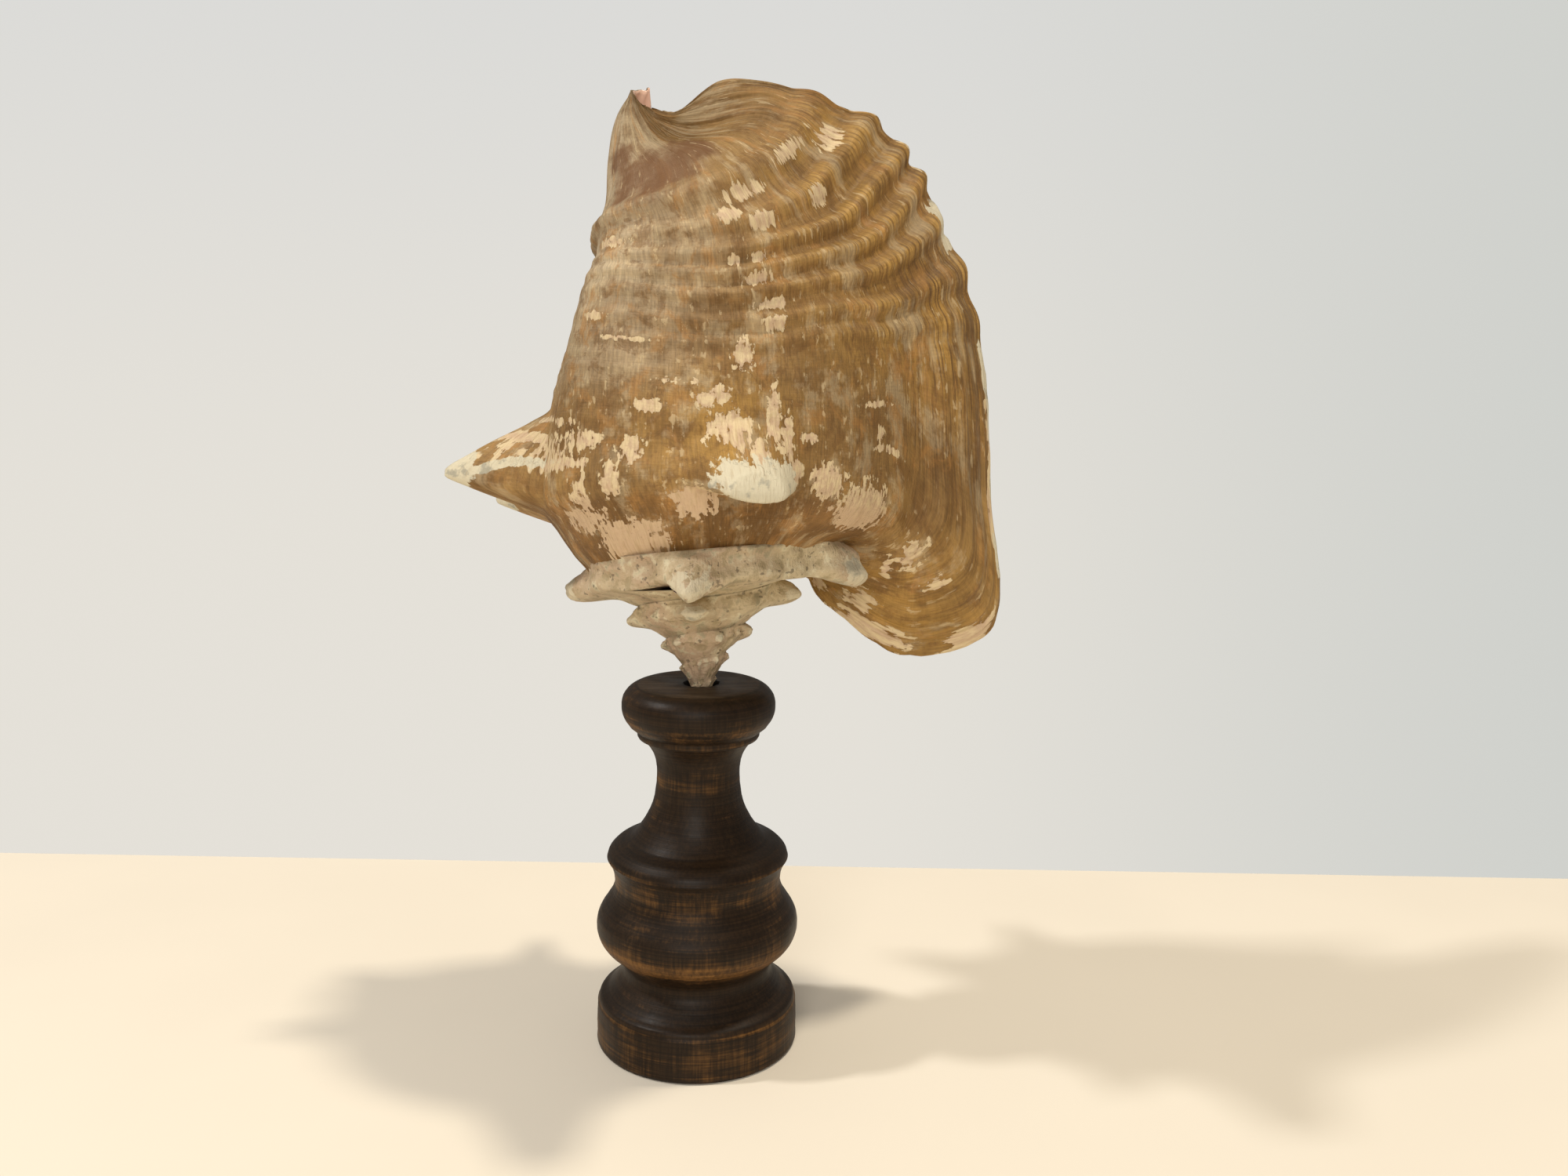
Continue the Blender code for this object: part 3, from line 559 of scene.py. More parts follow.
def skin_zones(g, v):
    """Shares of the outer skin: greyer, below the shoulder (partly painted shade), lip strip, and painted
    shade in the valleys between the cords.
    """
    g, v = np.broadcast_arrays(g, v)
    drift = 6 * soft_noise(g / 15, v * 6, 71)
    grey = ease((292 + drift - g) / 55) * ease((v - 0.30) / 0.14) * (0.75 + 0.25 * ease((v - 0.45) / 0.2))
    grey = np.maximum(grey, 0.8 * ease((v - 0.80) / 0.05) * ease((300 - g) / 30))
    # Under the shoulder, facing down: the skin's darker golden brown, partly painted shade.
    below = ease((0.172 - v + 0.012 * soft_noise(g / 5, v * 20, 72)) / 0.03) * ease((352 - g) / 14)
    strip = ease((g - 338 + 0.6 * drift) / 18) * ease((0.66 - v) / 0.12)
    strip = np.maximum(strip, 0.8 * ease((g - 376) / 8)) * (0.12 + 0.88 * ease((v - 0.20) / 0.16))
    # Painted shade in the valleys between the cords, near the lip.
    valley_shade = ease((0.55 - cord_crest(v)) / 0.5) * ease((v - 0.50) / 0.04)
    valley_shade = valley_shade * ease((0.76 - v) / 0.02) * ease((g - 262) / 60)
    return np.stack([grey, below, strip, valley_shade], -1)


def skin_place(g, v):
    """Millimetres along the growth and along the growth line, for the material's patterns."""
    g, v = np.broadcast_arrays(g, v)
    return np.stack([g * MM_PER_DEGREE, v * MM_ALONG, g * 0.0], -1)


def grid_faces(rows, columns, start=0, closed=False, flip=False):
    """Four-sided faces of a grid of points."""
    count = rows if closed else rows - 1
    i = np.repeat(np.arange(count), columns - 1)
    j = np.tile(np.arange(columns - 1), count)
    n = (i + 1) % rows
    faces = np.stack([i * columns + j, n * columns + j, n * columns + j + 1, i * columns + j + 1], -1)
    if flip:
        faces = faces[:, ::-1]
    return (faces + start).tolist()


def shell_placement():
    """Matrix from the shell's own millimetres to metres on the stand."""
    settings = bpy.context.scene.conch_shell_look
    return (Matrix.Translation(Vector(APEX_ON_STAND) * MM)
            @ Matrix.Rotation(-settings.lean_left, 4, "Y")
            @ Matrix.Rotation(-settings.lean_back, 4, "X")
            @ Matrix.Scale(MM, 4))


def make_piece(name, points, faces, layers, node, material):
    """Mesh object in metres with its pattern places and colour shares for each point."""
    mesh = bpy.data.meshes.new(name)
    mesh.from_pydata(points.reshape(-1, 3).tolist(), [], faces)
    mesh.shade_smooth()
    for title, values in layers.items():
        kind, field = ("FLOAT_VECTOR", "vector") if title == "place" else ("FLOAT_COLOR", "color")
        layer = mesh.attributes.new(title, kind, "POINT")
        layer.data.foreach_set(field, values.reshape(-1).astype(np.float32))
    mesh.validate()
    piece = bpy.data.objects.new(name, mesh)
    bpy.context.scene.collection.objects.link(piece)
    mesh.materials.append(material)
    if node == "conch_shell":
        mesh.transform(shell_placement())
    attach(piece, "root")
    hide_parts(node)
    return piece


def lengths(line):
    """Distance of each point of a line from its start, measured along it."""
    return np.concatenate([[0], np.cumsum(np.linalg.norm(np.diff(line, axis=0), axis=1))])


def even_columns(start, end, count, g):
    """v values from start to end at even steps along the growth line at g."""
    fine = np.linspace(start, end, 400)
    length = lengths(body_surface(np.full((1, len(fine)), float(g)), fine)[0])
    return np.interp(np.linspace(0, length[-1], count), length, fine)


def even_shares(count):
    """Shares of the way from the seam to the lip at even steps along the whorl."""
    fine = np.linspace(SEAM_GROWTH, LIP_GROWTH, 300)
    length = lengths(body_surface(fine[:, None], np.array([0.40]))[:, 0])
    shares = np.interp(np.linspace(0, length[-1], count), length, fine)
    return (shares - SEAM_GROWTH) / (LIP_GROWTH - SEAM_GROWTH)


def lip_end(v):
    """Growth angle of the lip's edge, which is a little ragged and has chips."""
    ragged = 0.45 + 0.45 * soft_noise(v * 38, v * 0, 31) + 0.30 * soft_noise(v * 95, v * 0, 32)
    chipped = 0.0
    for middle, half, depth in LIP_CHIPS:
        chipped = chipped + depth * ease((half - np.abs(v - middle)) / (half * 0.5))
    return LIP_GROWTH - np.clip(ragged, 0, 1.3) - chipped


def sunk_start(v):
    """Share by which each growth line's start is tucked under the suture."""
    return (1 - ease(v / 0.03))[None, :, None]


def edge_rows(outer, inner, away, bulge, shares):
    """Rows of a rounded edge between the skin and the lining."""
    return [outer * (1 - t) + inner * t + away * (bulge * math.sin(math.pi * t)) for t in shares]


def edge_tones(tones, lined):
    """Tones of an edge's rows, each with its own share of lining."""
    return [np.concatenate([tones[:, :3], np.full((len(tones), 1), share)], -1) for share in lined]


def whorl_layer(values, lining=None, lip=None, back=None):
    """Values of the skin, of three rows for the lip and the seam, and of the lining."""
    lining = values[::2, ::2] if lining is None else lining
    lip = lip or [values[-1]] * 3
    back = back or [values[0]] * 3
    size = values.shape[-1]
    return np.concatenate([values.reshape(-1, size)] + lip + back + [lining.reshape(-1, size)])


def build_last_whorl(depth, material):
    """Free wall of the last whorl: outer skin, lining, rounded edges."""
    rows = WHORL_ROWS // COARSE // 2 * 2 + 1
    columns = WHORL_COLUMNS // COARSE // 2 * 2 + 1
    v = even_columns(0.0, 1.0, columns, 330)
    shares = even_shares(rows)
    start = seam(v)
    g = start + (lip_end(v) - start) * shares[:, None]
    outer, normals = skin_surface(g, v, depth)
    from_canal = body_surface(g, v) - np.array((*CANAL_AXIS, 0.0))
    from_canal[..., 2] = 3.0
    round_tip = ease((v - 0.90) / 0.07)[None, :, None]
    normals = normals * (1 - round_tip) + unit(from_canal) * round_tip
    buried = 1.5 * (1 - ease((g - start) / 5)) * (1 - ease((v - 0.80) / 0.06))
    outer = outer - normals * buried[..., None]
    wall = LIP_EDGE_WALL + (WALL - LIP_EDGE_WALL) * (1 - ease((shares - 0.80) / 0.20))[:, None]
    wall = wall * (1 - 0.4 * ease((v - 0.72) / 0.10) - 0.25 * ease((v - 0.88) / 0.06))
    inner = body_surface(g, v) - normals * (buried + wall)[..., None]
    axis = unit(outer * (1, 1, 0))
    sunk = sunk_start(v)
    outer = outer - (axis * 4 + np.array((0, 0, 3.0))) * sunk
    inner = inner - (axis * 5 + np.array((0, 0, 2.0))) * sunk

    half = inner[::2, ::2]
    lip = edge_rows(outer[-1], inner[-1], unit(outer[-1] - outer[-3]), 0.9, (0.2, 0.5, 0.8))
    back = edge_rows(outer[0], inner[0], unit(outer[0] - outer[2]), 0.6, (0.8, 0.5, 0.2))
    points = whorl_layer(outer, half, lip, back)
    faces = grid_faces(rows + 3, columns)
    back_start = (rows + 3) * columns
    faces += grid_faces(3, columns, back_start)
    last_back = back_start + 2 * columns
    faces += [[last_back + j, j, j + 1, last_back + j + 1] for j in range(columns - 1)]
    inner_start = back_start + 3 * columns
    inner_rows, inner_columns = half.shape[:2]
    faces += grid_faces(inner_rows, inner_columns, inner_start, flip=True)
    last_lip = (rows + 2) * columns
    inner_last = inner_start + (inner_rows - 1) * inner_columns
    for k in range(inner_columns - 1):
        lip_at, back_at = last_lip + 2 * k, back_start + 2 * k
        faces.append([lip_at, inner_last + k, inner_last + k + 1, lip_at + 2, lip_at + 1])
        faces.append([back_at, back_at + 1, back_at + 2, inner_start + k + 1, inner_start + k])
    for column, inner_column, turned in ((0, 0, False), (columns - 1, inner_columns - 1, True)):
        side = [[2 * k * columns + column, inner_start + k * inner_columns + inner_column,
                 inner_start + (k + 1) * inner_columns + inner_column,
                 (2 * k + 2) * columns + column, (2 * k + 1) * columns + column]
                for k in range(inner_rows - 1)]
        side.append([inner_last + inner_column]
                    + [i * columns + column for i in range(rows + 2, rows - 2, -1)])
        side.append([back_start + k * columns + column for k in (2, 1, 0)]
                    + [inner_start + inner_column, column])
        faces += [ring[::-1] for ring in side] if turned else side

    marks, tones = skin_marks(g, v), skin_tones(g, v)
    lining_tones = tones[::2, ::2].copy()
    lining_tones[..., 3] = 1.0
    lining_tones[..., 0] = ease((shares[::2] - 0.74) / 0.24)[:, None]
    layers = {"place": whorl_layer(skin_place(g, v)),
              "marks": whorl_layer(marks, marks[::2, ::2] * 0),
              "tones": whorl_layer(tones, lining_tones, edge_tones(tones[-1], (0.1, 0.5, 1.0)),
                                   edge_tones(tones[0], (1.0, 0.5, 0.1))),
              "zones": whorl_layer(skin_zones(g, v))}
    return make_piece("shell_last_whorl", points, faces, layers, "conch_shell", material)


def pillar_surface(g, v):
    """Pillar that the whorls wind round."""
    columella_v = [row[0] for row in COLUMELLA]
    rounded = smooth_curve(columella_v, [row[1:] for row in COLUMELLA], v)
    radius, height = rounded[..., 0], rounded[..., 1]
    shift = 16 * ease((height - 110) / 90)
    phi = np.radians(g)
    return np.stack([radius * np.cos(phi) - shift, radius * np.sin(phi) + shift * 0.3,
                     height + phi * 0], -1)


def with_ends(values, ends=0.0):
    """Values of a grid of points, followed by those of its two end points."""
    size = values.shape[-1]
    return np.concatenate([values.reshape(-1, size), np.zeros((2, size)) + ends])


def build_body_and_pillar(depth, material):
    """First half of the last whorl and the pillar inside the opening."""
    v = even_columns(0.0, PILLAR_V, BODY_COLUMNS // COARSE, 150)
    outside = np.arange(BODY_START, BODY_END + 0.01, 1.0 * COARSE)
    outside[-1] = BODY_END
    g = outside[:, None] + 0 * v
    body, normals = skin_surface(g, v, depth)
    under = 0.03 + 1.5 * ease((g - seam(v) - 5) / 6)
    under = under * ease((g - 150) / 20 + (v > 0.6))
    body = body - normals * under[..., None]
    body = body - (unit(body * (1, 1, 0)) * 3 + np.array((0, 0, 2.5))) * sunk_start(v)
    inward = (0.30 * (1 - ease((g - 30) / 45)))[..., None]
    body = body * (1 - inward) + pillar_surface(g, v[None]) * inward

    knots = [BODY_END - 2, BODY_END] + [angle for angle, _ in HOLLOW] + [400.0, 402.0]
    coarse = [body[-3], body[-1]]
    for angle, share in HOLLOW:
        edge = body[-1] if angle < 300 else body[0]
        coarse.append(pillar_surface(np.full_like(v, angle), v) * share + edge * (1 - share))
    coarse += [body[0], body[2]]
    inside = np.arange(BODY_END + 2.5 * COARSE, 399.0, 2.5 * COARSE)
    points = np.concatenate([body, smooth_curve(knots, np.stack(coarse), inside)])
    rows = len(points)
    rings = [points]
    for t in np.arange(1, HEAD_RINGS) / HEAD_RINGS:
        ring = points[:, -1:] * (1 - t) + np.array(PILLAR_HEAD) * t
        ring[..., 2] += 3.0 * math.sin(math.pi * t)
        rings.append(ring)
    capped = np.concatenate(rings, 1)
    width = capped.shape[1]
    faces = grid_faces(rows, width, closed=True)
    foot = rows * width
    flat = np.concatenate([capped.reshape(-1, 3), [PILLAR_FOOT, PILLAR_HEAD]])
    for i in range(rows):
        n = (i + 1) % rows
        faces.append([n * width, i * width, foot])
        faces.append([i * width + width - 1, n * width + width - 1, foot + 1])

    wide_v = np.concatenate([v, np.linspace(PILLAR_V, 0.95, HEAD_RINGS)[1:]])
    angle = np.concatenate([outside, inside])[:, None]
    hidden = angle >= BODY_END
    marks, tones = skin_marks(angle, wide_v), skin_tones(angle, wide_v)
    marks[..., :2] = np.where(hidden[..., None], 0, marks[..., :2])
    tones[..., 0] = np.where(hidden, 0.15, tones[..., 0])
    tones[..., 1] = np.where(hidden, 0.0, tones[..., 1])
    lined = np.where(hidden, 1.0, ease((58 - angle) / 16))
    tones[..., 3] = np.maximum(lined, ease((wide_v - PILLAR_V) / 0.01))
    layers = {"place": with_ends(skin_place(angle, wide_v)), "marks": with_ends(marks),
              "tones": with_ends(tones, (0, 0, 0, 1)), "zones": with_ends(skin_zones(angle, wide_v))}
    return make_piece("shell_body_and_pillar", flat, faces, layers, "conch_shell", material)


def shoulder(g):
    """Radius and height of the spire's shoulder line at each growth angle."""
    radius = PREVIOUS_SHOULDER * WHORL_RATIO ** (np.minimum(g, SLOWER_GROWTH) / 360)
    radius = radius + 0.035 * np.maximum(0.0, g - SLOWER_GROWTH)
    angles = [a for a, _ in SHOULDER_RISE]
    heights = [h for _, h in SHOULDER_RISE]
    lift = KNOB_LIFT * np.exp(-((g - KNOB_LIFT_AT) / KNOB_LIFT_HALF) ** 2)
    return radius, smooth_curve(angles, heights, g) + lift


def knob(g):
    """How far along a knob of the spire each growth angle lies, 1 at its tip."""
    spacing = np.where(g > -585, 90, np.where(g > -930, 60, 45))
    g = g + LAST_KNOB_EARLY * ease((g + 80) / 60)
    away = np.abs(g - np.round(g / spacing) * spacing) / (spacing * 0.2)
    return np.clip(1.06 - np.sqrt(away ** 2 + 0.0036), 0, 1) ** 1.1


def suture(g):
    """Point where the whorl at growth g meets the whorl before it."""
    radius, height = shoulder(g - 360)
    share = np.maximum(0.0, (g - APEX_GROWTH) / 360)
    early = g - 360 < APEX_GROWTH
    return (np.where(early, 0.6 + 1.5 * share, radius * 1.03),
            np.where(early, -0.4 + 1.3 * share, height + radius * 0.2))


def build_spire(depth, material):
    """Coiled spire with its knobs and the narrow slit."""
    step = 2.0 * COARSE
    g = np.arange(APEX_GROWTH, SPIRE_END + 0.1, step)
    turn = int(round(360 / step))
    radius, height = shoulder(g)
    low_r, low_h = suture(g)
    high_r, high_h = suture(g + 360)
    bump = knob(g) * ease((g - APEX_GROWTH) / 200)
    tip = radius * (1 + (0.22 + 0.06 * ease((g + 585) / 50)) * bump)
    droop = radius * (0.02 + 0.08 * bump * ease((g + 200) / 180))
    outline = np.stack([
        np.stack([low_r, low_h], -1),
        np.stack([low_r * 0.45 + radius * 0.55, low_h * 0.5 + height * 0.5 - radius * 0.01], -1),
        np.stack([radius * 0.96 + (tip - radius) * 0.80,
                  height - radius * (0.05 + 0.05 * bump) - droop * 0.8], -1),
        np.stack([tip, height - droop], -1),
        np.stack([radius + (tip - radius) * 0.75, height + radius * 0.09 - droop * 0.7], -1),
        np.stack([high_r, high_h], -1)])
    count = SPIRE_COLUMNS // COARSE
    s = np.linspace(0, 4, count)
    profile = np.moveaxis(smooth_curve([0.0, 1.0, 1.8, TIP_AT, 2.8, 4.0], outline, s), 0, 1)
    g, radius, bump = g[:, None], radius[:, None], bump[:, None]
    rough = depth * 0.9 * (soft_noise(g / 4, s * 3, 41) + 0.6 * soft_noise(g / 1.6, s * 2, 42))
    rough = rough + 1.7 * soft_noise(g / 11, s * 1.3, 44) + 0.9 * soft_noise(g / 5, s * 2.6, 45)
    rough = rough * (radius / 40) * np.sin(np.pi * s / 4) ** 0.5
    pits = np.clip(soft_noise(g / 3, s * 8, 43) - 0.45, 0, 1) * bump * (radius / 25)
    open_at = SLIT_PROFILE + 0.06 * soft_noise(g / 4, s * 0, 46) + 0.006 * (g - SLIT_GROWTH)
    wide = 0.24 + 0.34 * ease((g - SLIT_GROWTH + 12) / 18)
    away = np.sqrt(((g - SLIT_GROWTH) / 13.5) ** 2 + ((s - open_at) / wide) ** 2)
    slit = ease((1.15 - away) / 0.3)
    big = np.exp(-((g - FRONT_KNOB[0]) / 5.5) ** 2 - ((s - FRONT_KNOB[1]) / 1.0) ** 2)
    reach = profile[..., 0] + rough - pits - SLIT_DEPTH * slit + 2.8 * big
    phi = np.radians(g)
    points = np.stack([reach * np.cos(phi), reach * np.sin(phi), profile[..., 1] - 2.2 * big], -1)
    rows = len(g)
    index = np.arange(rows * count).reshape(rows, count)
    index[:rows - turn, -1] = index[turn:, 0]
    points[:rows - turn, -1] = points[turn:, 0]
    faces = np.stack([index[:-1, :-1], index[1:, :-1], index[1:, 1:], index[:-1, 1:]], -1)
    faces = faces.reshape(-1, 4).tolist()
    apex, crown = rows * count, rows * count + 1
    flat = np.concatenate([points.reshape(-1, 3), [SPIRE_APEX, SPIRE_CROWN]])
    index = index.tolist()
    for i in range(turn):
        faces.append([index[i + 1][0], index[i][0], apex])
    for j in range(count - 1):
        faces.append([index[0][j], index[0][j + 1], apex])
        faces.append([index[-1][j + 1], index[-1][j], crown])
    for i in range(rows - 1 - turn, rows - 1):
        faces.append([index[i][-1], index[i + 1][-1], crown])

    none = np.zeros(points.shape[:2])
    near_suture = np.clip(1 - np.minimum(s, 4 - s) / 0.35, 0, 1) + none
    near_tip = np.exp(-((s - TIP_AT) / 0.55) ** 2)
    white = np.maximum(ease((bump - 0.35) / 0.4) * near_tip * 0.9, ease((big - 0.3) / 0.5) * 0.62)
    # The slit's share also fills the stained and amber places, which set the painted shade in the slit.
    marks = np.stack([none, white, np.clip(slit * 2.5, 0, 1), near_suture], -1)
    places = np.stack([phi * radius + none, s * radius * 0.25, none], -1)
    layers = {"place": with_ends(places), "marks": with_ends(marks),
              "tones": with_ends(np.stack([slit, none, none + 1, none], -1), (0, 0, 1, 0)),
              "zones": np.zeros((len(flat), 4))}
    return make_piece("shell_spire", flat, faces, layers, "conch_shell", material)


class Paint:
    """Nodes that make the look of one material, or of the room."""

    def __init__(self, tree):
        self.tree = tree

    def node(self, kind, values=None, **options):
        """Node with its options, and its sockets set or linked."""
        made = self.tree.nodes.new(kind)
        for key, value in options.items():
            setattr(made, key, value)
        for key, value in (values or {}).items():
            if isinstance(value, bpy.types.NodeSocket):
                self.tree.links.new(value, made.inputs[key])
            else:
                made.inputs[key].default_value = value
        return made

    def mix(self, share, low, high, kind="MIX"):
        """Colour between two colours, each made by a node or red, green and blue."""
        low, high = (one if isinstance(one, bpy.types.NodeSocket) else (*one, 1.0) for one in (low, high))
        values = {0: share, 6: low, 7: high}
        return self.node("ShaderNodeMix", values, data_type="RGBA", blend_type=kind).outputs[2]

    def coats(self, colour, *coats):
        """Colour under one coat after another, each a share and its colour."""
        for share, coat in coats:
            colour = self.mix(share, colour, coat)
        return colour

    def shade(self, colour, level):
        """Colour made darker or lighter by a level."""
        grey = self.node("ShaderNodeCombineColor", {0: level, 1: level, 2: level}).outputs[0]
        return self.mix(1.0, colour, grey, "MULTIPLY")

    def number(self, kind, first, second=0.0, third=0.0, clamp=False):
        """Result of a sum on numbers."""
        values = {0: first, 1: second, 2: third}
        return self.node("ShaderNodeMath", values, operation=kind, use_clamp=clamp).outputs[0]

    def times(self, first, second, clamp=False):
        """Product of two values."""
        return self.number("MULTIPLY", first, second, 0.0, clamp)

    def total(self, start, *terms):
        """Start with terms added to it, each a value and its weight."""
        for value, weight in terms:
            start = self.number("MULTIPLY_ADD", value, weight, start)
        return start

    def roughen(self, share, *swings):
        """Share moved up and down by patterns, each a pattern and its swing."""
        middle = sum(swing for _, swing in swings) / 2
        return self.number("SUBTRACT", self.total(share, *swings), middle)

    def ramp(self, value, low, high, out_low=0.0, out_high=1.0):
        """Smooth change between two levels of a value."""
        values = {"Value": value, "From Min": low, "From Max": high, "To Min": out_low, "To Max": out_high}
        return self.node("ShaderNodeMapRange", values, interpolation_type="SMOOTHSTEP").outputs[0]

    def pattern(self, place, stretch, detail=3.0, roughness=0.55, distortion=0.0):
        """Noise with one stretch, or one along each axis."""
        stretch = stretch if isinstance(stretch, tuple) else (stretch,) * 3
        scaled = self.node("ShaderNodeVectorMath", {0: place, 1: stretch}, operation="MULTIPLY")
        values = {"Vector": scaled.outputs[0], "Scale": 1.0, "Detail": detail, "Roughness": roughness,
                  "Distortion": distortion}
        return self.node("ShaderNodeTexNoise", values).outputs[0]

    def shares(self, name):
        """The four shares that a mesh holds under a name."""
        held = self.node("ShaderNodeAttribute", attribute_name=name)
        split = self.node("ShaderNodeSeparateColor", {0: held.outputs["Color"]})
        return (*split.outputs, held.outputs["Alpha"])

    def finish(self, colour, roughness, specular, relief=None, strength=0.0, distance=0.0):
        """Colour, roughness and relief put on the material's surface."""
        shader = self.tree.nodes["Principled BSDF"].inputs
        self.tree.links.new(colour, shader["Base Color"])
        if isinstance(roughness, bpy.types.NodeSocket):
            self.tree.links.new(roughness, shader["Roughness"])
        else:
            shader["Roughness"].default_value = roughness
        if specular is not None:
            shader["Specular IOR Level"].default_value = specular
        if relief is not None:
            values = {"Height": relief, "Strength": strength, "Distance": distance}
            self.tree.links.new(self.node("ShaderNodeBump", values).outputs[0], shader["Normal"])


def new_material(name):
    """Material with nodes, and the paint for it."""
    material = bpy.data.materials.new(name)
    material.use_nodes = True
    return material, Paint(material.node_tree)


def shell_material():
    """Weathered outer skin, peeled layers, bare spire, chalky tips and glossy lining, with painted shade
    between the cords, under the shoulder and in the spire's slit, and painted highlights on the cord
    crests.
    """
    look = bpy.context.scene.conch_shell_look
    material, paint = new_material("weathered_shell")
    ramp, times, pattern = paint.ramp, paint.times, paint.pattern
    place = paint.node("ShaderNodeAttribute", attribute_name="place").outputs["Vector"]
    along = paint.node("ShaderNodeSeparateXYZ", {0: place}).outputs[0]
    around = paint.node("ShaderNodeTexCoord").outputs["Object"]
    peeled, chalky, stained, crest = paint.shares("marks")
    amber, banded, spire, lined = paint.shares("tones")
    grey, below, strip, valley_shade = paint.shares("zones")

    lines = pattern(place, (1.5, 0.10, 1.0), 4.0, 0.62)
    streaks = pattern(place, (0.36, 0.036, 1.0), 3.0, 0.6)
    chips = pattern(place, (0.50, 0.20, 1.0), 4.0, 0.56)
    crumbs = pattern(place, (1.3, 0.42, 1.0), 3.0, 0.6)
    threads = pattern(place, (0.16, 1.3, 1.0), 3.0, 0.6)
    growth = pattern(place, (0.95, 0.022, 1.0), 3.0, 0.6)
    clouds = pattern(place, (0.085, 0.040, 1.0), 5.0, 0.66)
    drifts = pattern(place, (0.085, 0.045, 1.0), 5.0, 0.68, 0.6)
    broken = pattern(place, (0.13, 0.075, 1.0), 5.0, 0.70, 0.5)
    bends = pattern(place, (0.07, 0.05, 1.0), 3.0, 0.5)
    blotches = pattern(around, 24.0, 3.0, 0.55)
    mottle = pattern(around, 95.0, 4.0, 0.65)
    lumps = pattern(around, 190.0, 4.0, 0.62)
    dots = pattern(around, 420.0, 2.0, 0.5)
    grain = pattern(around, 900.0, 2.0, 0.6)
    wave = paint.total(0.0, (along, 2.5), (bends, 22.0))
    rings = paint.number("MULTIPLY_ADD", paint.number("SINE", wave), 0.5, 0.5)

    # Golden brown for under the shoulder, darkened partly by painted shade.
    golden = paint.mix(ramp(blotches, 0.34, 0.52), look.orange, look.umber)
    golden = paint.mix(ramp(streaks, 0.50, 0.70, 0.0, 0.65), golden, look.tan)
    warm = paint.number("MULTIPLY_ADD", paint.number("SUBTRACT", streaks, 0.5), 0.9, amber, True)
    # Painted highlight on the crests of the cords near the lip, between the growth lines.
    bead = times(times(crest, banded), ramp(rings, 0.80, 0.55))
    skin = paint.mix(ramp(blotches, 0.36, 0.62, 0.0, 0.35), look.tan, look.umber)
    skin = paint.coats(
        skin,
        (times(grey, ramp(blotches, 0.30, 0.62, 1.0, 0.72)), look.mauve),
        (warm, look.amber),
        # Under the shoulder: golden brown skin, partly painted shade.
        (times(below, ramp(mottle, 0.32, 0.62, 1.0, 0.75)), golden),
        # Painted shade in the valleys between the cords.
        (times(valley_shade, ramp(crumbs, 0.30, 0.62, 0.70, 0.30)), look.umber),
        # Painted highlight on the cord crests.
        (times(bead, 0.55), look.bead),
        (ramp(mottle, 0.48, 0.64, 0.0, 0.50), look.umber),
        (ramp(broken, 0.49, 0.60, 0.0, 0.62), look.umber),
        (times(strip, ramp(growth, 0.49, 0.56, 0.0, 0.72)), look.line),
        (times(strip, ramp(streaks, 0.55, 0.66, 0.0, 0.45)), look.amber),
        (ramp(clouds, 0.50, 0.62, 0.0, 0.55), look.haze),
        (ramp(drifts, 0.52, 0.64, 0.0, 0.65), look.orange))
    skin = paint.shade(skin, ramp(lines, 0.34, 0.66, 0.83, 1.13))
    skin = paint.shade(skin, ramp(threads, 0.35, 0.65, 0.94, 1.06))
    skin = paint.shade(skin, ramp(blotches, 0.36, 0.64, 1.12, 0.88))
    ring = times(ramp(rings, 0.74, 0.96), times(banded, crest))
    ring = times(ring, ramp(chips, 0.30, 0.55, 0.3, 1.0))
    spotted = ramp(paint.roughen(stained, (mottle, 2.2), (lines, 1.2)), 0.10, 1.00, 0.0, 0.85)
    scuffs = times(ramp(chips, 0.56, 0.62), ramp(streaks, 0.50, 0.60))
    ragged = paint.roughen(0.0, (chips, 2.2), (streaks, 1.3), (crumbs, 0.35))
    ragged = paint.number("MULTIPLY_ADD", ragged, times(peeled, 5.0, True), peeled)
    flake = ramp(ragged, 0.42, 0.50)
    cream = paint.mix(ramp(chips, 0.42, 0.60), look.blush, look.peeled)
    # Under the shoulder the peeled layer takes the darker blush, partly painted shade.
    cream = paint.coats(cream, (times(below, 0.8), look.blush),
                        (ramp(lines, 0.45, 0.72, 0.0, 0.40), look.tan))
    worn = paint.roughen(chalky, (mottle, 1.3), (chips, 1.8))
    tip = ramp(times(times(chalky, 9.0, True), worn), 0.441, 0.541)
    chalk = paint.coats(look.chalk, (ramp(mottle, 0.57, 0.66, 0.0, 0.60), TIP_GREY),
                        (ramp(lines, 0.50, 0.70, 0.0, 0.30), look.tan))
    skin = paint.coats(
        skin,
        (times(ring, 0.80), look.line),
        (times(spotted, times(stained, 3.0, True)), look.stain),
        (times(scuffs, 0.45), look.peeled),
        (flake, cream),
        (tip, chalk))

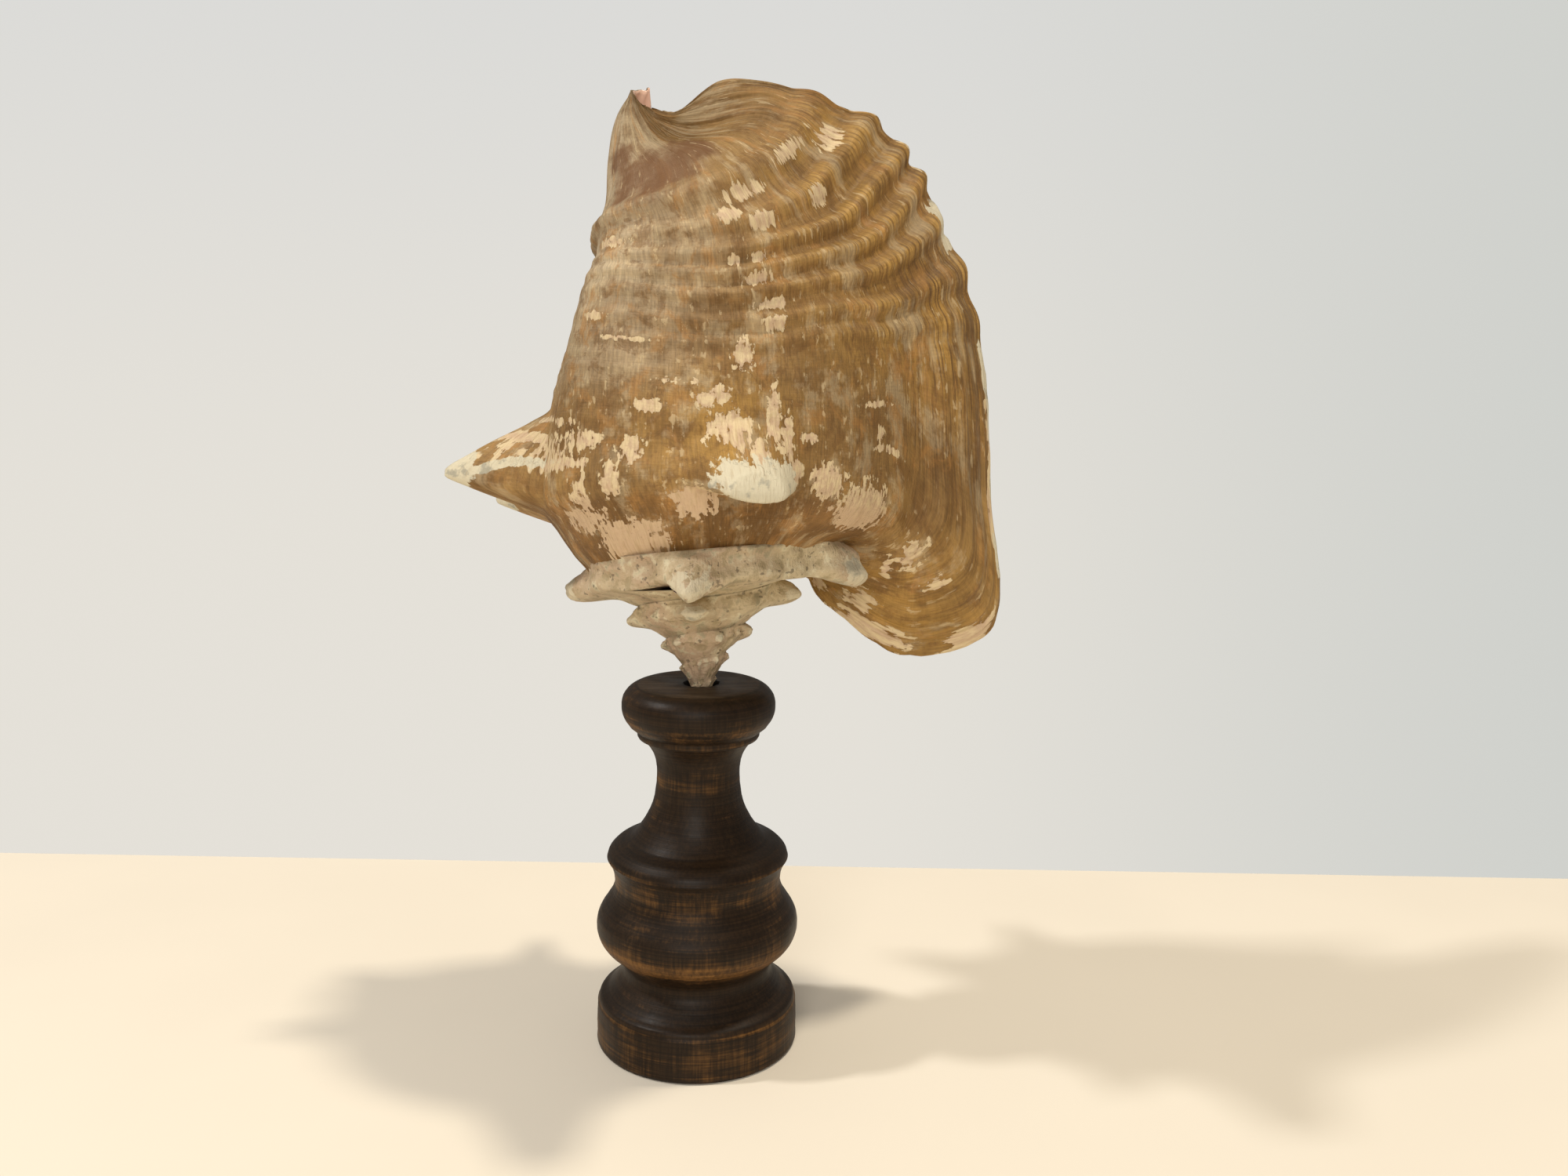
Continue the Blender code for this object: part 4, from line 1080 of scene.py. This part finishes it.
    specks = ramp(paint.total(mottle, (crest, 0.06)), 0.53, 0.64, 0.0, 0.62)
    bare = paint.mix(ramp(blotches, 0.40, 0.62), look.spire, look.spire_pink)
    bare = paint.coats(
        bare,
        (ramp(lumps, 0.50, 0.66, 0.0, 0.85), LUMP_PALE),
        (ramp(lumps, 0.47, 0.36, 0.0, 0.60), LUMP_BROWN),
        (specks, SPECK_BROWN),
        (ramp(dots, 0.62, 0.68, 0.0, 0.65), DOT_BROWN),
        (times(tip, 0.75), chalk),
        # Painted shade deep in the spire's slit, dark maroon.
        (times(stained, amber), SLIT_SHADE))
    lining = paint.mix(amber, look.nacre, look.rim)
    lining = paint.coats(lining, (ramp(blotches, 0.45, 0.70, 0.0, 0.45), look.rim),
                         (ramp(streaks, 0.45, 0.75, 0.0, 0.25), look.blush))
    glazed = ramp(paint.roughen(lined, (chips, 0.5)), 0.40, 0.60)
    skin = paint.coats(skin, (spire, bare), (glazed, lining))

    matt = paint.total(ramp(mottle, 0.3, 0.7, 0.46, 0.68), (tip, 0.15))
    gloss = paint.total(0.16, (mottle, 0.10))
    rough = paint.node("ShaderNodeMix", {0: glazed, 2: matt, 3: gloss}, data_type="FLOAT").outputs[0]
    relief = paint.total(0.0, (lines, 0.60), (chips, 0.35), (threads, 0.20), (grain, 0.10),
                         (times(growth, strip), -0.8), (times(specks, spire), -0.5),
                         (times(lumps, spire), 2.0), (flake, -0.30))
    relief = times(relief, paint.total(1.0, (glazed, -0.94)))
    paint.finish(skin, rough, 0.30, relief, 0.9, 0.0009)
    return material


def stand_rows():
    """Fine outline of the stand."""
    rows = []
    for part in STAND_OUTLINE:
        part = np.array(part, float)
        length = lengths(part)
        count = max(4, int(length[-1] / (0.75 * COARSE)))
        rows.append(smooth_curve(length, part, np.linspace(0, length[-1], count)))
    return np.concatenate(rows)


def build_stand(material):
    """Turned stand with its flat top and the ragged hole for the apex."""
    settings = bpy.context.scene.conch_stand_look
    sides = STAND_SIDES // COARSE
    outline = stand_rows()
    outline[:, 1] *= settings.height / (STAND_HEIGHT * MM)
    angle = np.arange(sides) * 2 * math.pi / sides
    turn = np.stack([np.cos(angle), np.sin(angle)], -1)
    wave = 0.05 * soft_noise(outline[:, 1:] / 1.1, angle * 0, 51)
    rings = [np.concatenate([turn * (r + wave[i])[:, None], np.full((sides, 1), h)], -1)
             for i, (r, h) in enumerate(outline)]
    hole = settings.hole / MM
    top = rings[-1]
    ragged = hole * (1 + 0.07 * soft_noise(angle * 3.5, angle * 0, 52))
    mouth = np.concatenate([turn * ragged[:, None] + HOLE_CENTRE, top[:, 2:]], -1)
    for t in (0.15, 0.4, 0.65, 0.85, 0.97):
        rings.append(top * (1 - t) + mouth * t)
    for depth, share in HOLE_STEPS:
        ring = mouth.copy()
        ring[:, :2] = (ring[:, :2] - HOLE_CENTRE) * share + HOLE_CENTRE
        ring[:, 2] -= depth
        rings.append(ring)
    flat = np.concatenate(rings)
    last = len(flat) - sides
    faces = []
    for start in range(0, last, sides):
        for k in range(sides):
            n = (k + 1) % sides
            faces.append([start + k, start + n, start + sides + n, start + sides + k])
    faces.append(list(range(sides))[::-1])
    faces.append(list(range(last, last + sides)))
    rubbed = np.zeros(len(flat))
    for height, half, strength in RUBBED_BANDS:
        rubbed = np.maximum(rubbed, strength * np.exp(-((flat[:, 2] - height) / half) ** 2))
    inner = np.linalg.norm(flat[:, :2] - HOLE_CENTRE, axis=1)
    # Painted shade in the hole and on the top round its mouth, where the apex sits.
    hole_shade = ease((9.5 - inner) / 2.5) * (flat[:, 2] > 120)
    marks = np.stack([rubbed, hole_shade, (flat[:, 2] > STAND_HEIGHT - 0.3) * 1.0, rubbed * 0 + 1], -1)
    piece = make_piece("stand_turned_wood", flat * MM, faces, {"marks": marks},
                       "turned_stand", material)
    piece.data.set_sharp_from_angle(angle=math.radians(38))
    return piece


def wood_material():
    """Dark stained wood, rubbed to brown on its bands, with turning lines and grain, and painted shade in
    the hole.
    """
    look = bpy.context.scene.conch_stand_look
    material, paint = new_material("stained_turned_wood")
    ramp, times, pattern = paint.ramp, paint.times, paint.pattern
    rubbed, hole_shade, top, _ = paint.shares("marks")
    around = paint.node("ShaderNodeTexCoord").outputs["Object"]
    fibres = pattern(around, (900.0, 900.0, 40.0), 4.0, 0.6)
    broad = pattern(around, (45.0, 45.0, 700.0), 3.0, 0.6, 0.3)
    patch = pattern(around, (60.0, 60.0, 30.0), 4.0, 0.6)
    turning = pattern(around, (10.0, 10.0, 1500.0), 3.0, 0.6)
    scratch = pattern(around, (90.0, 90.0, 700.0), 3.0, 0.7, 0.6)
    end_grain = pattern(around, (70.0, 700.0, 70.0), 4.0, 0.6)
    thin = ramp(paint.roughen(rubbed, (patch, 1.3), (fibres, 0.5), (broad, 1.2)), 0.15, 1.00)
    wood = paint.coats(look.stain, (thin, look.rubbed),
                       (times(ramp(scratch, 0.60, 0.72, 0.0, 0.40), thin), SCRATCH_BROWN))
    wood = paint.shade(wood, ramp(fibres, 0.36, 0.64, 0.80, 1.22))
    wood = paint.shade(wood, ramp(turning, 0.36, 0.64, 0.74, 1.28))
    wood = paint.coats(
        wood,
        (times(top, ramp(end_grain, 0.35, 0.70, 0.05, 0.55)), END_GRAIN_GREY),
        (ramp(patch, 0.50, 0.75, 0.0, 0.05), DUST),
        # Painted shade in the hole for the apex.
        (hole_shade, HOLE_SHADE))
    rough = paint.total(ramp(patch, 0.3, 0.7, 0.34, 0.50), (scratch, 0.12))
    relief = paint.total(0.0, (turning, 0.5), (fibres, 0.35), (scratch, 0.25))
    paint.finish(wood, rough, 0.18, relief, 0.45, 0.00035)
    return material


def floor_material(colour):
    """Pale matt paint with faint unevenness."""
    material, paint = new_material("pale_floor")
    around = paint.node("ShaderNodeTexCoord").outputs["Object"]
    cloud = paint.pattern(around, 6.0, 3.0, 0.5)
    tone = paint.mix(paint.ramp(cloud, 0.3, 0.7), colour, [level * 0.97 for level in colour])
    paint.finish(tone, 0.7, None)
    return material


def add_light(name, place, size, power, colour, highlight):
    """Soft square light that shines at the middle of the object."""
    data = bpy.data.lights.new(name, "AREA")
    data.size = size
    data.energy = power
    data.color = colour
    data.specular_factor = highlight
    lamp = bpy.data.objects.new(name, data)
    bpy.context.scene.collection.objects.link(lamp)
    lamp.location = place
    lamp.rotation_mode = "QUATERNION"
    lamp.rotation_quaternion = (LIGHT_AIM - Vector(place)).to_track_quat("-Z", "Y")


def build_stage():
    """Plain pale floor, soft light and the camera at the viewing angle."""
    settings = bpy.context.scene.conch_stage_look
    scene = bpy.context.scene
    corners = [(x, y, z) for z in (0, -FLOOR_THICK) for x, y in (
        (-FLOOR_REACH, -FLOOR_REACH), (FLOOR_REACH, -FLOOR_REACH),
        (FLOOR_REACH, settings.floor_back), (-FLOOR_REACH, settings.floor_back))]
    faces = [(0, 1, 2, 3), (7, 6, 5, 4), (0, 4, 5, 1), (1, 5, 6, 2), (2, 6, 7, 3), (3, 7, 4, 0)]
    mesh = bpy.data.meshes.new("pale_floor")
    mesh.from_pydata(corners, [], faces)
    floor = bpy.data.objects.new("pale_floor", mesh)
    scene.collection.objects.link(floor)
    floor.location.z = -FLOOR_GAP
    mesh.materials.append(floor_material(settings.floor_colour))
    for light in LIGHTS:
        add_light(*light)

    world = bpy.data.worlds.new("pale_room")
    world.use_nodes = True
    scene.world = world
    paint = Paint(world.node_tree)
    shade = world.node_tree.nodes["Background"]
    way = paint.node("ShaderNodeTexCoord").outputs["Generated"]
    across, _, up = paint.node("ShaderNodeSeparateXYZ", {0: way}).outputs
    # Painted shading on the wall: lighter at its foot, darker upwards and to the right.
    wall = paint.mix(paint.ramp(up, -0.15, 0.35), WALL_FOOT, WALL_SHADED_TOP)
    wall = paint.mix(paint.ramp(across, 0.0, 0.6), wall, WALL_SHADED_RIGHT)
    seen = paint.node("ShaderNodeLightPath").outputs["Is Camera Ray"]
    world.node_tree.links.new(paint.mix(seen, ROOM_LIGHT, wall), shade.inputs["Color"])
    shade.inputs["Strength"].default_value = 1.0
    scene.view_settings.view_transform = "Standard"

    data = bpy.data.cameras.new("view_camera")
    data.sensor_width = CAMERA_SENSOR
    data.lens = CAMERA_LENS
    camera = bpy.data.objects.new("view_camera", data)
    scene.collection.objects.link(camera)
    camera.matrix_world = (Matrix.Translation(settings.camera_place)
                           @ Matrix.Rotation(math.pi / 2 - settings.camera_down, 4, "X")
                           @ Matrix.Rotation(settings.camera_roll, 4, "Z"))
    scene.camera = camera


def shared_shell_material():
    """The shell's material, made once for all its pieces."""
    return bpy.data.materials.get("weathered_shell") or shell_material()


class CONCH_OT_last_whorl(bpy.types.Operator):
    """Build the free wall of the last whorl with the flared lip and the canal"""
    bl_idname = "conch.last_whorl"
    bl_label = "Last whorl"

    def execute(self, context):
        settings = context.scene.conch_shell_look
        build_last_whorl(settings.wrinkle / MM, shared_shell_material())
        return {"FINISHED"}


class CONCH_OT_body(bpy.types.Operator):
    """Build the first half of the last whorl and the pillar inside"""
    bl_idname = "conch.body_and_pillar"
    bl_label = "Body and pillar"

    def execute(self, context):
        settings = context.scene.conch_shell_look
        build_body_and_pillar(settings.wrinkle / MM, shared_shell_material())
        return {"FINISHED"}


class CONCH_OT_spire(bpy.types.Operator):
    """Build the coiled spire with its knobs"""
    bl_idname = "conch.spire"
    bl_label = "Spire"

    def execute(self, context):
        settings = context.scene.conch_shell_look
        build_spire(settings.wrinkle / MM, shared_shell_material())
        return {"FINISHED"}


class CONCH_OT_stand(bpy.types.Operator):
    """Build the turned wooden stand"""
    bl_idname = "conch.stand"
    bl_label = "Turned stand"

    def execute(self, context):
        build_stand(wood_material())
        return {"FINISHED"}


class CONCH_OT_stage(bpy.types.Operator):
    """Build the floor, the lights and the camera"""
    bl_idname = "conch.stage"
    bl_label = "Stage"

    def execute(self, context):
        build_stage()
        return {"FINISHED"}


class CONCH_PT_panel(bpy.types.Panel):
    """Sidebar panel with the pieces and their settings"""
    bl_label = "Conch shell"
    bl_idname = "CONCH_PT_panel"
    bl_space_type = "VIEW_3D"
    bl_region_type = "UI"
    bl_category = "Conch shell"

    def draw(self, context):
        layout = self.layout
        for title, group, operators in (
                ("Shell", context.scene.conch_shell_look,
                 ("conch.last_whorl", "conch.body_and_pillar", "conch.spire")),
                ("Stand", context.scene.conch_stand_look, ("conch.stand",)),
                ("Stage", context.scene.conch_stage_look, ("conch.stage",))):
            box = layout.box()
            box.label(text=title)
            for key in group.__annotations__:
                box.prop(group, key)
            for operator in operators:
                box.operator(operator)


CLASSES = (ShellSettings, StandSettings, StageSettings, CONCH_OT_last_whorl, CONCH_OT_body,
           CONCH_OT_spire, CONCH_OT_stand, CONCH_OT_stage, CONCH_PT_panel)


def register():
    for item in CLASSES:
        bpy.utils.register_class(item)
    bpy.types.Scene.conch_shell_look = bpy.props.PointerProperty(type=ShellSettings)
    bpy.types.Scene.conch_stand_look = bpy.props.PointerProperty(type=StandSettings)
    bpy.types.Scene.conch_stage_look = bpy.props.PointerProperty(type=StageSettings)


def unregister():
    del bpy.types.Scene.conch_stage_look
    del bpy.types.Scene.conch_stand_look
    del bpy.types.Scene.conch_shell_look
    for item in reversed(CLASSES):
        bpy.utils.unregister_class(item)


def main():
    register()
    bpy.ops.conch.last_whorl()
    bpy.ops.conch.body_and_pillar()
    bpy.ops.conch.spire()
    bpy.ops.conch.stand()
    bpy.ops.conch.stage()


if __name__ == "__main__":
    main()
